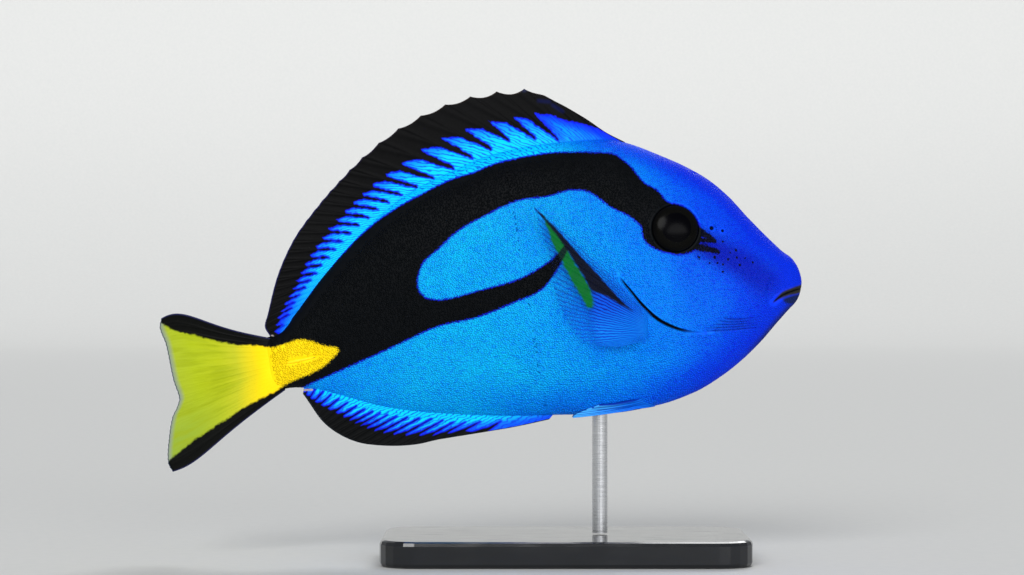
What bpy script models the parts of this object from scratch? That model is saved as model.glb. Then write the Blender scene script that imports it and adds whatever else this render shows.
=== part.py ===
"""Regal blue tang, a still, life-size model of a young fish on a plain display stand.

The fish is drawn straight, in its own frame: u is the distance behind the snout along the axis,
v the height above that axis and y the distance to its left, all in millimetres. An empty then
pitches it nose up over the stand. The stand's underside is the floor, at z = 0.
"""
import math

import bmesh
import bpy
import numpy as np
from mathutils import Matrix, Vector

MM = 0.001
GAP = 0.3
SLIVER = 0.01

# Driving dimensions of the fish, in millimetres and degrees
BODY_LENGTH = 124.0
PITCH = 9.2
SNOUT_PLACE = (46.0, 0.0, 64.0)
TAIL_SWEEP = 4.0
SWEEP_STARTS = 60.0
SWEEP_ENDS = 150.0

EYE_PLACE = (26.8, 16.6)
EYE_RADIUS = 5.4
EYE_DOME = 1.9
EYE_DEPTH = 4.2
EYE_SUNK = 0.2
ORBIT_RIM = 0.75
ORBIT_RIM_OUT = 0.35

NOSE_BULGE = 0.5
NOSE_SOFTNESS = 0.15
MOUTH_FRONT = (0.0, -1.6)
MOUTH_CORNER = (5.6, -3.0)
MOUTH_OPENING = 0.35
LIP_RADIUS = 0.65
LIP_SPREAD = 1.15
LIP_SUNK = 0.45
LIP_TAPER = 0.6
NOSTRILS = ((18.5, 15.4, 0.5), (16.1, 14.3, 0.4))

TAIL_SPINE_BASE = (119.0, 0.5)
TAIL_SPINE_TIP = (112.6, 0.7)
TAIL_SPINE_RADIUS = 0.8
PEDUNCLE_STARTS = 107.0

MEMBRANE = 0.5
RAY_AT_ROOT = 1.1
RAY_AT_TIP = 0.65
FIN_ROOT_DEPTH = 2.0
FIN_SUNK = 0.9
DORSAL_RAYS = 31
ANAL_RAYS = 22
CAUDAL_RAYS = 18
PECTORAL_RAYS = 16
PELVIC_RAYS = 4
PECTORAL_STAND_OFF = 3.6
PELVIC_STAND_OFF = 0.75
KEEL_HALF_WIDTH = 2.4

# Driving dimensions of the stand, in millimetres
BASE_SIZE = (84.0, 46.0, 6.0)
BASE_CENTRE = -8.0
BASE_CORNER = 8.0
BASE_EDGE = 1.0
ROD_DIAMETER = 3.5
ROD_PLACE = 0.0
ROD_REACH = 50.0

BLUE = (0.010, 0.190, 0.870, 1.0)
BLACK = (0.006, 0.007, 0.012, 1.0)
YELLOW = (0.900, 0.720, 0.010, 1.0)
GREEN = (0.010, 0.250, 0.060, 1.0)
STEEL = (0.560, 0.570, 0.580, 1.0)


def smooth_curve(*points):
    """A smooth line through hand-picked points, in cubic pieces that never overshoot."""
    x, y = np.array(points, float).T
    chord = np.diff(y) / np.diff(x)
    before, after = chord[:-1], chord[1:]
    same_way = before * after > 0
    both = np.where(same_way, before + after, 1.0)
    inner = np.where(same_way, 2 * before * after / both, 0.0)
    slope = np.concatenate((chord[:1], inner, chord[-1:]))

    def value(at):
        at = np.clip(np.asarray(at, float), x[0], x[-1])
        i = np.clip(np.searchsorted(x, at) - 1, 0, len(x) - 2)
        width = x[i + 1] - x[i]
        t = (at - x[i]) / width
        rest = 1 - t
        return (
            y[i] * rest * rest * (1 + 2 * t)
            + y[i + 1] * t * t * (3 - 2 * t)
            + width * t * rest * (slope[i] * rest - slope[i + 1] * t)
        )

    return value


def profile(*points):
    """A body outline over u. It runs on the root of u, which rounds the snout off."""
    over_root = smooth_curve(*[(math.sqrt(u), value) for u, value in points])
    return lambda u: over_root(np.sqrt(np.maximum(u, 0.0)))


# The body's back, belly and half width along u, without fins
back = profile(
    (0, 0.6), (0.15, 3.7), (1.1, 5.9), (2.7, 7.5), (5.5, 11.1), (9.3, 16.4), (13, 22.0),
    (16.9, 26.5), (21, 29.9), (27.4, 34.1), (33.7, 37.7), (38, 39.4), (46, 40.4), (56, 40.9),
    (65, 40.4), (75, 38.1), (85, 34.9), (93, 30.7), (101, 25.0), (109, 18.1), (116, 11.3),
    (120, 7.6), (124, 6.9),
)
belly = profile(
    (0, 0.6), (0.15, -1.7), (0.8, -3.4), (1.7, -4.5), (3.5, -5.9), (6.7, -8.5), (11.6, -12.6),
    (15.6, -15.4), (20.7, -18.3), (28.2, -21.3), (36.6, -22.8), (44, -23.1), (53, -22.3),
    (60, -21.3), (69, -20.1), (78, -18.5), (91, -15.6), (100, -12.8), (108.8, -8.9),
    (114, -6.6), (120, -5.4), (124, -5.6),
)
half_width = profile(
    (0, 0.0), (0.15, 1.5), (1, 2.4), (3, 3.5), (7, 4.9), (15, 7.0), (27, 9.3), (38, 10.6),
    (50, 10.8), (62, 10.2), (78, 8.3), (93, 6.2), (108, 4.1), (118, 3.0), (122, 2.2), (124, 1.1),
)
SECTION_FULLNESS = 2.3
SECTION_EDGE = 0.6
FIRST_STATION = 0.35
STATION_CROWDING = 1.6


def section(share):
    """The body's half width at a share of its half height, from -1 at the belly to 1."""
    return (1 - np.minimum(np.abs(share), 1.0) ** SECTION_FULLNESS) ** SECTION_EDGE


def flank(u, v):
    """How far the body's side lies from the middle plane at u and v."""
    middle = (back(u) + belly(u)) / 2
    half = np.maximum((back(u) - belly(u)) / 2, 1e-6)
    return half_width(u) * section((v - middle) / half)


def sweep(u):
    """The tail's sideways swing at u."""
    share = (np.asarray(u, float) - SWEEP_STARTS) / (SWEEP_ENDS - SWEEP_STARTS)
    return TAIL_SWEEP * np.clip(share, 0.0, None) ** 2


def point(u, v, y=0.0):
    """A point of the straight fish in metres, with the snout along +X."""
    return Vector((-float(u), float(y), float(v))) * MM


def clear_scene():
    """Empties the scene and makes the collections for the parts and the cutters."""
    for old in list(bpy.data.objects):
        bpy.data.objects.remove(old)
    collections = []
    for name in ("regal_blue_tang", "cutters"):
        group = bpy.data.collections.new(name)
        bpy.context.scene.collection.children.link(group)
        collections.append(group)
    return collections


def finish(name, colour, roughness, metallic=0.0):
    """A material with the part's plain colour and shine."""
    material = bpy.data.materials.new(name)
    material.use_nodes = True
    shader = material.node_tree.nodes["Principled BSDF"]
    shader.inputs["Base Color"].default_value = colour
    shader.inputs["Roughness"].default_value = roughness
    shader.inputs["Metallic"].default_value = metallic
    return material


def add_object(name, mesh, group):
    """Puts a mesh into a collection under its name."""
    made = bpy.data.objects.new(name, mesh)
    group.objects.link(made)
    return made


def from_bmesh(name, bm, group):
    """Turns a bmesh into an object with outward faces."""
    bmesh.ops.recalc_face_normals(bm, faces=bm.faces)
    if bm.calc_volume(signed=True) < 0:
        bmesh.ops.reverse_faces(bm, faces=bm.faces)
    mesh = bpy.data.meshes.new(name)
    bm.to_mesh(mesh)
    bm.free()
    return add_object(name, mesh, group)


def evaluated_mesh(made):
    """A new mesh of an object, or of its curve, with its modifiers applied."""
    graph = bpy.context.evaluated_depsgraph_get()
    return bpy.data.meshes.new_from_object(made.evaluated_get(graph))


def applied(made):
    """Replaces an object's mesh by what its modifiers leave."""
    mesh = evaluated_mesh(made)
    made.modifiers.clear()
    made.data = mesh
    return made


def meshed_curve(name, curve, group):
    """The closed mesh of a curve whose caps are welded on."""
    drawn = add_object(name, curve, group)
    bm = bmesh.new()
    bm.from_mesh(evaluated_mesh(drawn))
    bpy.data.objects.remove(drawn)
    bmesh.ops.remove_doubles(bm, verts=bm.verts, dist=SLIVER * MM)
    return from_bmesh(name, bm, group)


def combine(made, others, operation):
    """Joins or cuts an object with closed ones by one Boolean, then removes them."""
    group = bpy.data.collections.new("operands")
    bpy.context.scene.collection.children.link(group)
    for other in others:
        group.objects.link(other)
    step = made.modifiers.new("combine", "BOOLEAN")
    step.operation = operation
    step.operand_type = "COLLECTION"
    step.collection = group
    applied(made)
    for other in others:
        bpy.data.objects.remove(other)
    bpy.data.collections.remove(group)
    bm = bmesh.new()
    bm.from_mesh(made.data)
    bmesh.ops.dissolve_degenerate(bm, edges=bm.edges, dist=SLIVER * MM)
    bm.to_mesh(made.data)
    bm.free()
    return made


def closed_surfaces(mesh):
    """The mesh's separate surfaces as bmeshes with their volumes, largest first."""
    whole = bmesh.new()
    whole.from_mesh(mesh)
    whole.verts.index_update()
    waiting = set(range(len(whole.verts)))
    whole.verts.ensure_lookup_table()
    found = []
    while waiting:
        front = [waiting.pop()]
        island = set(front)
        while front:
            near = {
                edge.other_vert(whole.verts[i]).index
                for i in front
                for edge in whole.verts[i].link_edges
            }
            front = list(near & waiting)
            waiting -= near
            island |= near
        piece = whole.copy()
        piece.verts.ensure_lookup_table()
        others = [vertex for vertex in piece.verts if vertex.index not in island]
        bmesh.ops.delete(piece, geom=others, context="VERTS")
        found.append((piece.calc_volume(), piece))
    whole.free()
    return sorted(found, key=lambda pair: -pair[0])


def keep_largest(made):
    """Leaves an object its largest closed surface alone."""
    for order, (_, piece) in enumerate(closed_surfaces(made.data)):
        if order == 0:
            piece.to_mesh(made.data)
        piece.free()
    return made


def loft_rings(name, rings, group):
    """A closed body from rings of points, with a fan over each end."""
    bm = bmesh.new()
    rows = [[bm.verts.new(place) for place in ring] for ring in rings]
    count = len(rows[0])
    for row, following in zip(rows, rows[1:]):
        for i in range(count):
            j = (i + 1) % count
            bm.faces.new((row[i], row[j], following[j]))
            bm.faces.new((row[i], following[j], following[i]))
    for row in (rows[0], rows[-1]):
        centre = sum((vertex.co for vertex in row), Vector()) / count
        hub = bm.verts.new(centre)
        for i in range(count):
            bm.faces.new((row[i], row[(i + 1) % count], hub))
    return from_bmesh(name, bm, group)


def body_form(name, grow, group, stations=48, around=36):
    """The whole body without fins, made larger all round by grow."""
    rings = []
    for i in (FIRST_STATION, *range(1, stations + 1)):
        u = BODY_LENGTH * (i / stations) ** STATION_CROWDING
        top, bottom, wide = back(u) + grow, belly(u) - grow, half_width(u) + grow
        middle, half = (top + bottom) / 2, (top - bottom) / 2
        at = u + grow * (2 * u / BODY_LENGTH - 1) - NOSE_BULGE * math.exp(-u / NOSE_SOFTNESS)
        turns = 2 * math.pi * np.arange(around) / around
        shares = np.cos(turns)
        sides = np.sign(np.sin(turns).round(9)) * wide * section(shares)
        rings.append([point(at, middle + half * s, y) for s, y in zip(shares, sides)])
    return loft_rings(name, rings, group)


def ball(name, centre, radii, group, turn=Matrix(), segments=16, rings=10):
    """A ball with a radius of its own along each axis; a fourth one flattens its -Z half."""
    bm = bmesh.new()
    bmesh.ops.create_uvsphere(bm, u_segments=segments, v_segments=rings, radius=1.0)
    for vertex in bm.verts:
        low = radii[3] if len(radii) > 3 and vertex.co.z < 0 else radii[2]
        size = Vector((radii[0], radii[1], low)) * MM
        vertex.co = centre + turn @ (vertex.co * size)
    return from_bmesh(name, bm, group)


def side_normal(u, v, side):
    """The direction in which the flank faces, on the left for side 1 and right for -1."""
    along = (flank(u + 0.5, v) - flank(u - 0.5, v)).item()
    upward = (flank(u, v + 0.5) - flank(u, v - 0.5)).item()
    return Vector((along, side, -upward)).normalized()


def eye_form(name, side, grow, group):
    """An eyeball with a shallow dome outside and a deeper bowl in the head."""
    u, v = EYE_PLACE
    facing = side_normal(u, v, side)
    turn = facing.to_track_quat("Z", "Y").to_matrix()
    centre = point(u, v, side * flank(u, v)) - facing * EYE_SUNK * MM
    wide = EYE_RADIUS + grow
    radii = (wide, wide, EYE_DOME + grow, EYE_DEPTH + grow)
    return ball(name, centre, radii, group, turn, segments=24, rings=14)


def orbit_rim(side, group):
    """The raised ring of skin round an eye."""
    u, v = EYE_PLACE
    facing = side_normal(u, v, side)
    turn = facing.to_track_quat("Z", "Y").to_matrix()
    centre = point(u, v, side * flank(u, v))
    around, sides = 28, 8
    rings = []
    for i in range(around):
        angle = 2 * math.pi * i / around
        outward = Vector((math.cos(angle), math.sin(angle), 0))
        ring = []
        for j in range(sides):
            roll = 2 * math.pi * j / sides
            reach = EYE_RADIUS + ORBIT_RIM_OUT + ORBIT_RIM * math.cos(roll)
            height = ORBIT_RIM * math.sin(roll)
            ring.append(centre + turn @ (outward * reach + Vector((0, 0, height))) * MM)
        rings.append(ring)
    bm = bmesh.new()
    rows = [[bm.verts.new(place) for place in ring] for ring in rings]
    for row, following in zip(rows, rows[1:] + rows[:1]):
        for j in range(sides):
            k = (j + 1) % sides
            bm.faces.new((row[j], row[k], following[k], following[j]))
    return from_bmesh("orbit_rim", bm, group)


def cleft(u):
    """The height of the mouth's line at u."""
    (front, high), (corner, low) = MOUTH_FRONT, MOUTH_CORNER
    return high + (low - high) * (u - front) / (corner - front)


def lip(lift, group):
    """A lip: a roll round the snout, above the mouth's line for lift 1 and below for -1."""
    line = bpy.data.curves.new("lip", "CURVE")
    line.dimensions = "3D"
    line.bevel_depth = LIP_RADIUS * MM
    line.bevel_resolution = 1
    line.use_fill_caps = True
    spline = line.splines.new("POLY")
    angles = np.radians(np.linspace(-90, 90, 15))
    spline.points.add(len(angles) - 1)
    for angle, knot in zip(angles, spline.points):
        u = LIP_SUNK + MOUTH_CORNER[0] * (1 - math.cos(angle))
        v = cleft(u) + lift * LIP_RADIUS * LIP_SPREAD
        beside = 0.0 if abs(angle) < 1e-6 else flank(u, v).item() - LIP_SUNK
        knot.co = (*point(u, v, math.copysign(beside, angle)), 1)
        knot.radius = 1 - LIP_TAPER * abs(angle) / (math.pi / 2)
    return meshed_curve("lip", line, group)


def kerf(name, line, group, width=GAP, reach=20.0):
    """A thin wall along a line in the side view, which parts the body in two."""
    line = np.array(line, float)
    along = np.gradient(line, axis=0)
    normal = np.stack((-along[:, 1], along[:, 0]), 1)
    normal /= np.linalg.norm(normal, axis=1)[:, None]
    rings = []
    for place, aside in zip(line, normal * width / 2):
        (u, v), (du, dv) = place, aside
        rings.append([
            point(u + du, v + dv, -reach), point(u + du, v + dv, reach),
            point(u - du, v - dv, reach), point(u - du, v - dv, -reach),
        ])
    return loft_rings(name, rings, group)


def gill_line():
    """The line that parts head and trunk: nape, edge of the gill cover, slit, throat."""
    edge = smooth_curve(
        (-30, 14.0), (-16, 15.5), (-11.5, 17.5), (-8.6, 21.5), (-7.8, 25.0), (-6.4, 29.3),
        (-3.4, 33.5), (1.2, 37.4), (7.8, 40.4), (20, 39.5), (32, 37.5), (50, 36.0),
    )
    heights = np.concatenate((np.linspace(-30, -10, 5), np.linspace(-8.6, 8, 14),
                              np.linspace(12, 50, 6)))
    return [(edge(v), v) for v in heights]


def tail_spine(name, side, grow, group):
    """The tail's folding blade, which points forward out of its groove."""
    (u, v), (tip_u, tip_v) = TAIL_SPINE_BASE, TAIL_SPINE_TIP
    rings = []
    for share, size in ((-0.06, 0.55), (0.0, 0.9), (0.25, 1.0), (0.6, 0.7), (0.9, 0.3), (1.0, 0.1)):
        at_u, at_v = u + (tip_u - u) * share, v + (tip_v - v) * share
        out = flank(at_u, at_v) * side
        radius = TAIL_SPINE_RADIUS * size + grow
        at_u += grow * (1 if share < 0 else -1 if share == 1.0 else 0)
        rings.append([
            point(at_u, at_v + radius * math.cos(a), out + 0.8 * radius * math.sin(a))
            for a in 2 * math.pi * np.arange(10) / 10
        ])
    return loft_rings(name, rings, group)


def whole_body(group):
    """The body with its orbits, lips, nostrils, mouth and grooves, before it is parted."""
    body = body_form("body", 0.0, group)
    rolls = [orbit_rim(side, group) for side in (1, -1)] + [lip(lift, group) for lift in (1, -1)]
    combine(body, rolls, "UNION")
    cutters = [eye_form("socket", side, GAP, group) for side in (1, -1)]
    cutters += [tail_spine("groove", side, GAP, group) for side in (1, -1)]
    for u, v, radius in NOSTRILS:
        for side in (1, -1):
            centre = point(u, v, side * flank(u, v))
            cutters.append(ball("nostril", centre, (radius,) * 3, group, segments=8, rings=6))
    corner = MOUTH_CORNER[0]
    slot = [(u, cleft(u)) for u in (-3.0, 0.0, corner / 2, corner)]
    cutters.append(kerf("mouth", slot, group, MOUTH_OPENING))
    combine(body, cutters, "DIFFERENCE")
    cuts = [
        kerf("gill_cut", gill_line(), group),
        kerf("peduncle_cut", [(PEDUNCLE_STARTS, v) for v in (-30, 0, 40)], group),
    ]
    return combine(body, cuts, "DIFFERENCE")


def part_body(body, group):
    """Parts the cut body into its three lengths, named from the snout back."""
    largest = closed_surfaces(body.data)
    lengths = sorted(largest[:3], key=lambda pair: -max(v.co.x for v in pair[1].verts))
    made = []
    for name, (_, piece) in zip(("head", "trunk", "caudal_peduncle"), lengths):
        made.append(from_bmesh(name, piece, group))
    bpy.data.objects.remove(body)
    return made


def fin(name, rays, rows, place, thickness, group):
    """A fin as one sheet with a ridge along each ray, thickened and cut clear of the body.

    place(k, s) is the point at share s of ray k's length, thickness(k, s) its size there.
    """
    columns = 2 * rays - 1
    sheet = bmesh.new()
    grid, sizes = [], []
    for i in range(columns):
        k = i / 2
        grid.append([sheet.verts.new(place(k, j / rows)) for j in range(rows + 1)])
        sizes += [thickness(k, j / rows) for j in range(rows + 1)]
    for i in range(columns - 1):
        for j in range(rows):
            a, b, c, d = grid[i][j], grid[i + 1][j], grid[i + 1][j + 1], grid[i][j + 1]
            sheet.faces.new((a, b, c))
            sheet.faces.new((a, c, d))
    mesh = bpy.data.meshes.new(name)
    sheet.to_mesh(mesh)
    sheet.free()
    made = add_object(name, mesh, group)
    thickest = max(sizes)
    shares = made.vertex_groups.new(name="thickness")
    for i, size in enumerate(sizes):
        shares.add([i], size / thickest, "REPLACE")
    wall = made.modifiers.new("wall", "SOLIDIFY")
    wall.thickness = thickest * MM
    wall.offset = 0.0
    wall.vertex_group = shares.name
    applied(made)
    combine(made, [body_form("clearance", GAP, group)], "DIFFERENCE")
    return keep_largest(made)


def ridged(root, rim=MEMBRANE):
    """Thickness of a fin: rays taper from the root to the rim and stand over the membrane."""
    def thickness(k, s):
        on_ray = k == int(k)
        ray = RAY_AT_ROOT + (RAY_AT_TIP - RAY_AT_ROOT) * s
        web = root + (rim - root) * min(1.0, 2.5 * s)
        return max(ray, web) if on_ray else web
    return thickness


def bowed(start, end, bow, share):
    """A place along a ray from start to end, bowed upwards by bow at its middle."""
    u = start[0] + (end[0] - start[0]) * share
    v = start[1] + (end[1] - start[1]) * share
    return u, v + 4 * bow * share * (1 - share)


def dorsal_fin(group):
    """Nine spines, then twenty-two soft rays, leaning back over the whole of the back."""
    root_u = smooth_curve(
        (0, 37.2), (2, 41), (3, 44.2), (4, 47.4), (5, 51.3), (6, 56.5), (8, 66.8), (10, 77.1),
        (12, 84.5), (14, 89.7), (18, 98.1), (22, 104.9), (26, 109.8), (28, 112.2), (30, 119),
    )
    tip_u = smooth_curve(
        (0, 38.3), (1, 43), (2, 48.5), (3, 55.5), (4, 61.9), (6, 74), (8, 85.5), (10, 94.8),
        (12, 100.9), (14, 105.6), (18, 113.6), (22, 118.9), (26, 122.1), (28, 123.2), (30, 122.4),
    )
    tip_v = smooth_curve(
        (0, 40.9), (1, 45.3), (2, 49.7), (3, 54), (4, 54.4), (5, 54.2), (6, 53.3), (8, 49.6),
        (10, 44.4), (12, 39.9), (14, 36), (18, 28), (22, 19.8), (26, 12.2), (28, 9.4), (30, 7.2),
    )
    scallop = smooth_curve((2.4, 0.0), (3, 1.1), (5, 0.8), (9, 0.5), (14, 0.15), (30, 0.0))

    def place(k, s):
        u = root_u(k)
        dip = scallop(k) if k != int(k) else 0.0
        tip = (tip_u(k), tip_v(k) - dip)
        u, v = bowed((u, back(u) - FIN_ROOT_DEPTH), tip, 0.0, s)
        return point(u, v, 0.5 * s * math.sin(0.6 * k))

    return fin("dorsal_fin", DORSAL_RAYS, 7, place, ridged(1.2), group)


def anal_fin(group):
    """Three spines and nineteen soft rays, folded well back under the body."""
    root_u = smooth_curve((0, 59), (3, 69), (7, 82.8), (11, 94.5), (15, 104), (21, 116))
    tip_u = smooth_curve(
        (0, 62), (1, 67), (3, 81), (5, 92.5), (8, 103.6), (11, 109.6), (15, 113.7), (21, 117),
    )
    tip_v = smooth_curve(
        (0, -22.0), (2, -22.5), (4, -22.5), (5, -22.8), (8, -21.2), (11, -18.2), (15, -13.9),
        (18, -10.4), (21, -7.2),
    )

    def place(k, s):
        u = root_u(k)
        u, v = bowed((u, belly(u) + FIN_ROOT_DEPTH), (tip_u(k), tip_v(k)), 0.0, s)
        return point(u, v, -0.4 * s * math.sin(0.5 * k))

    return fin("anal_fin", ANAL_RAYS, 5, place, ridged(1.1), group)


def caudal_fin(group):
    """The tail fin: eighteen rays that fan from the peduncle to a shallow notch."""
    tip_u = smooth_curve(
        (0, 146.8), (1, 147.5), (3, 146.7), (7, 146.2), (9, 145.6), (10, 146.5), (11, 147.9),
        (13, 149.3), (16, 150.5), (17, 149.8),
    )
    tip_v = smooth_curve((0, 15.2), (17, -20.2))
    bow = smooth_curve((0, 2.0), (2, 1.2), (6, 0), (13, 0), (17, -1.2))

    def place(k, s):
        root = (121.0, 6.2 - 11.9 * k / 17)
        u, v = bowed(root, (tip_u(k), tip_v(k)), 0.0, s)
        return point(u, v + bow(k) * math.sin(math.pi * s ** 3), 0.5 * s * math.sin(0.7 * k))

    return fin("caudal_fin", CAUDAL_RAYS, 8, place, ridged(1.5), group)


def pectoral_fin(name, side, group):
    """The side fin: sixteen rays, spread upright and held a little off the flank."""
    tip_u = smooth_curve(
        (0, 57.7), (2, 56.8), (3, 56.1), (6, 56.2), (8, 55.1), (10, 53.4), (12, 50.2), (15, 43.8),
    )
    tip_v = smooth_curve((0, 26.4), (3, 16), (6, 7), (9, -0.4), (12, -6.2), (15, -7.9))
    bow = smooth_curve((0, -2.2), (2, -1.6), (5, -0.7), (9, -0.2), (15, 0))
    spread = smooth_curve((0, PECTORAL_STAND_OFF), (15, PECTORAL_STAND_OFF / 3))
    foot, foot_ends = 1.5, 0.08

    def place(k, s):
        root = (35.2 + 1.6 * k / 15, -2.5 - 4.9 * k / 15)
        s **= 1.5
        u, v = bowed(root, (tip_u(k), tip_v(k)), bow(k), s)
        off = foot * min(1.0, s / foot_ends) + spread(k) * math.sin(s * math.pi / 2)
        return point(u, v, side * (flank(*root) - FIN_SUNK + off))

    return fin(name, PECTORAL_RAYS, 8, place, ridged(1.5), group)


def pelvic_fin(name, side, group):
    """The belly fin: one spine and three rays, folded back along the belly."""
    tip_u = smooth_curve((0, 56.7), (1, 56.0), (3, 50.0))
    tip_v = smooth_curve((0, -22.4), (1, -21.8), (3, -20.4))

    def place(k, s):
        root = (37.6 + 0.9 * k, -22.6 + 0.75 * k)
        u, v = bowed(root, (tip_u(k), tip_v(k)), -0.3, s)
        beside = max(flank(u, v).item(), KEEL_HALF_WIDTH) + PELVIC_STAND_OFF
        sunk = flank(*root).item() - FIN_SUNK
        leave = min(1.0, 4 * s)
        return point(u, v, side * (sunk + (beside - sunk) * leave))

    return fin(name, PELVIC_RAYS, 8, place, ridged(1.0), group)


def stand_base(group):
    """A flat plate with rounded corners and a softened edge."""
    length, width, height = BASE_SIZE
    outline = bpy.data.curves.new("stand_base", "CURVE")
    outline.dimensions = "2D"
    outline.fill_mode = "BOTH"
    outline.extrude = (height / 2 - BASE_EDGE) * MM
    outline.bevel_depth = BASE_EDGE * MM
    outline.bevel_resolution = 1
    outline.offset = -BASE_EDGE * MM
    spline = outline.splines.new("POLY")
    corners = []
    for quarter in range(4):
        across = (length / 2 - BASE_CORNER) * (1, -1, -1, 1)[quarter]
        up = (width / 2 - BASE_CORNER) * (1, 1, -1, -1)[quarter]
        for step in range(6):
            angle = math.pi / 2 * (quarter + step / 5)
            corners.append((across + BASE_CORNER * math.cos(angle),
                            up + BASE_CORNER * math.sin(angle)))
    spline.points.add(len(corners) - 1)
    for (x, y), knot in zip(corners, spline.points):
        knot.co = (x * MM, y * MM, 0, 1)
    spline.use_cyclic_u = True
    made = meshed_curve("stand_base", outline, group)
    made.location = (BASE_CENTRE * MM, 0, height / 2 * MM)
    return made


def stand_rod(pose, group):
    """A short steel rod from the base to the belly, between the belly fins."""
    low, high = BASE_SIZE[2] + GAP, ROD_REACH
    bm = bmesh.new()
    radius = ROD_DIAMETER / 2 * MM
    bmesh.ops.create_cone(bm, cap_ends=True, segments=20, radius1=radius, radius2=radius,
                          depth=(high - low) * MM)
    place = Matrix.Translation(Vector((ROD_PLACE, 0, (high + low) / 2)) * MM)
    bmesh.ops.transform(bm, matrix=place, verts=bm.verts)
    rod = from_bmesh("stand_rod", bm, group)
    body = body_form("clearance", GAP, group)
    body.matrix_world = pose
    combine(rod, [body], "DIFFERENCE")
    lowest = min(closed_surfaces(rod.data), key=lambda pair: min(v.co.z for v in pair[1].verts))
    lowest[1].to_mesh(rod.data)
    return rod


def swing_tail(made):
    """Carries the straight fish's points over with the tail's sideways swing."""
    for vertex in made.data.vertices:
        vertex.co.y += sweep(-vertex.co.x / MM) * MM


def main():
    """Makes the fish, then its stand."""
    parts, cutters = clear_scene()
    pose = bpy.data.objects.new("fish_pose", None)
    pose.location = Vector(SNOUT_PLACE) * MM
    pose.rotation_euler = (0, -math.radians(PITCH), 0)
    parts.objects.link(pose)
    bpy.context.view_layer.update()

    fish = part_body(whole_body(cutters), parts)
    fish += [dorsal_fin(parts), anal_fin(parts), caudal_fin(parts)]
    for name, side in (("left", 1), ("right", -1)):
        fish.append(pectoral_fin("pectoral_fin_" + name, side, parts))
        fish.append(pelvic_fin("pelvic_fin_" + name, side, parts))
        fish.append(eye_form("eye_" + name, side, 0.0, parts))
        fish.append(tail_spine("tail_spine_" + name, side, 0.0, parts))
    colours = {
        "head": BLUE, "trunk": BLUE, "caudal_peduncle": YELLOW, "dorsal_fin": BLACK,
        "anal_fin": BLUE, "caudal_fin": YELLOW, "pectoral_fin": GREEN, "pelvic_fin": BLUE,
        "eye": BLACK, "tail_spine": YELLOW,
    }
    for made in fish:
        swing_tail(made)
        kind = made.name.replace("_left", "").replace("_right", "")
        roughness = 0.1 if kind == "eye" else 0.45
        made.data.materials.clear()
        made.data.materials.append(finish(made.name, colours[kind], roughness))
        made.parent = pose
    base, rod = stand_base(parts), stand_rod(pose.matrix_world.copy(), parts)
    base.data.materials.append(finish("stand_base", BLACK, 0.35))
    rod.data.materials.clear()
    rod.data.materials.append(finish("stand_rod", STEEL, 0.25, 1.0))
    for made in fish + [base, rod]:
        made.data.shade_smooth()
        made.data.set_sharp_from_angle(angle=math.radians(35))


main()
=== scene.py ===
# %% [markdown]
# # A regal blue tang on its stand
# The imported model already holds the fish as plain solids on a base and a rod. This lesson gives
# it its looks: one skin with scales over the flesh, rayed fins, wet eyes, and the finish of the
# stand. The model loads first, because every later piece is measured against it.

import math

import bmesh
import bpy
import numpy as np
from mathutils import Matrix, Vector


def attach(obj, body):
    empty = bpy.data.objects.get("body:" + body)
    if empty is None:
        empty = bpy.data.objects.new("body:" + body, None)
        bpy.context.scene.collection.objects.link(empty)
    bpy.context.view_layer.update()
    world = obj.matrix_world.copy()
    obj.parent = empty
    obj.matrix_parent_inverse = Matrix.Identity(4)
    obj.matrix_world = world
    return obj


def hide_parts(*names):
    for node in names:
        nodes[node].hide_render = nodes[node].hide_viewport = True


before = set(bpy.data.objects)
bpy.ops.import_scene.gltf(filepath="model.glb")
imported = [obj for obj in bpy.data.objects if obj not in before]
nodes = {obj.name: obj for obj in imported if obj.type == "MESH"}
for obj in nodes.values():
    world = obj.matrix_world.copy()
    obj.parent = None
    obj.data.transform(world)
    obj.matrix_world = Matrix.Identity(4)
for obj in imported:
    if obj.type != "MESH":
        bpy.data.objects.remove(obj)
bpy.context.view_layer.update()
MM = 0.001
print("nodes:", len(nodes))

# %% [markdown]
# The photograph looks straight at the fish's right side. A long lens far away draws the outline
# without much perspective, so the lens is worked out from the width that the picture covers at
# the fish's middle plane.

# %% Set up the camera
PICTURE_WIDTH = 1024
MM_PER_PIXEL = 0.23
SENSOR = 36.0
DISTANCE = 700.0
PICTURE_CENTRE = (-20.2, 62.7)


def linked(name, data):
    """An object at the origin that shows a mesh, a lamp or a lens, linked into the scene."""
    made = bpy.data.objects.new(name, data)
    bpy.context.scene.collection.objects.link(made)
    return made


lens = bpy.data.cameras.new("picture_lens")
lens.sensor_width = SENSOR
lens.lens = SENSOR * DISTANCE / (PICTURE_WIDTH * MM_PER_PIXEL)
camera = linked("picture_camera", lens)
camera.location = Vector((PICTURE_CENTRE[0], -DISTANCE, PICTURE_CENTRE[1])) * MM
camera.rotation_euler = (math.pi / 2, 0, 0)
bpy.context.scene.camera = camera
bpy.context.scene.view_settings.view_transform = "Standard"
print("lens, mm:", round(lens.lens, 1))

# %% [markdown]
# A fish's body follows a few smooth lines: its back, its belly and its width. Each is drawn
# through the points that were measured for the solids. The cubic pieces never overshoot, so a
# long gap between two points stays as calm as the fish's real outline. Soft steps and hills
# serve everything that fades in or out.

# %% Draw smooth lines through points


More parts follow.
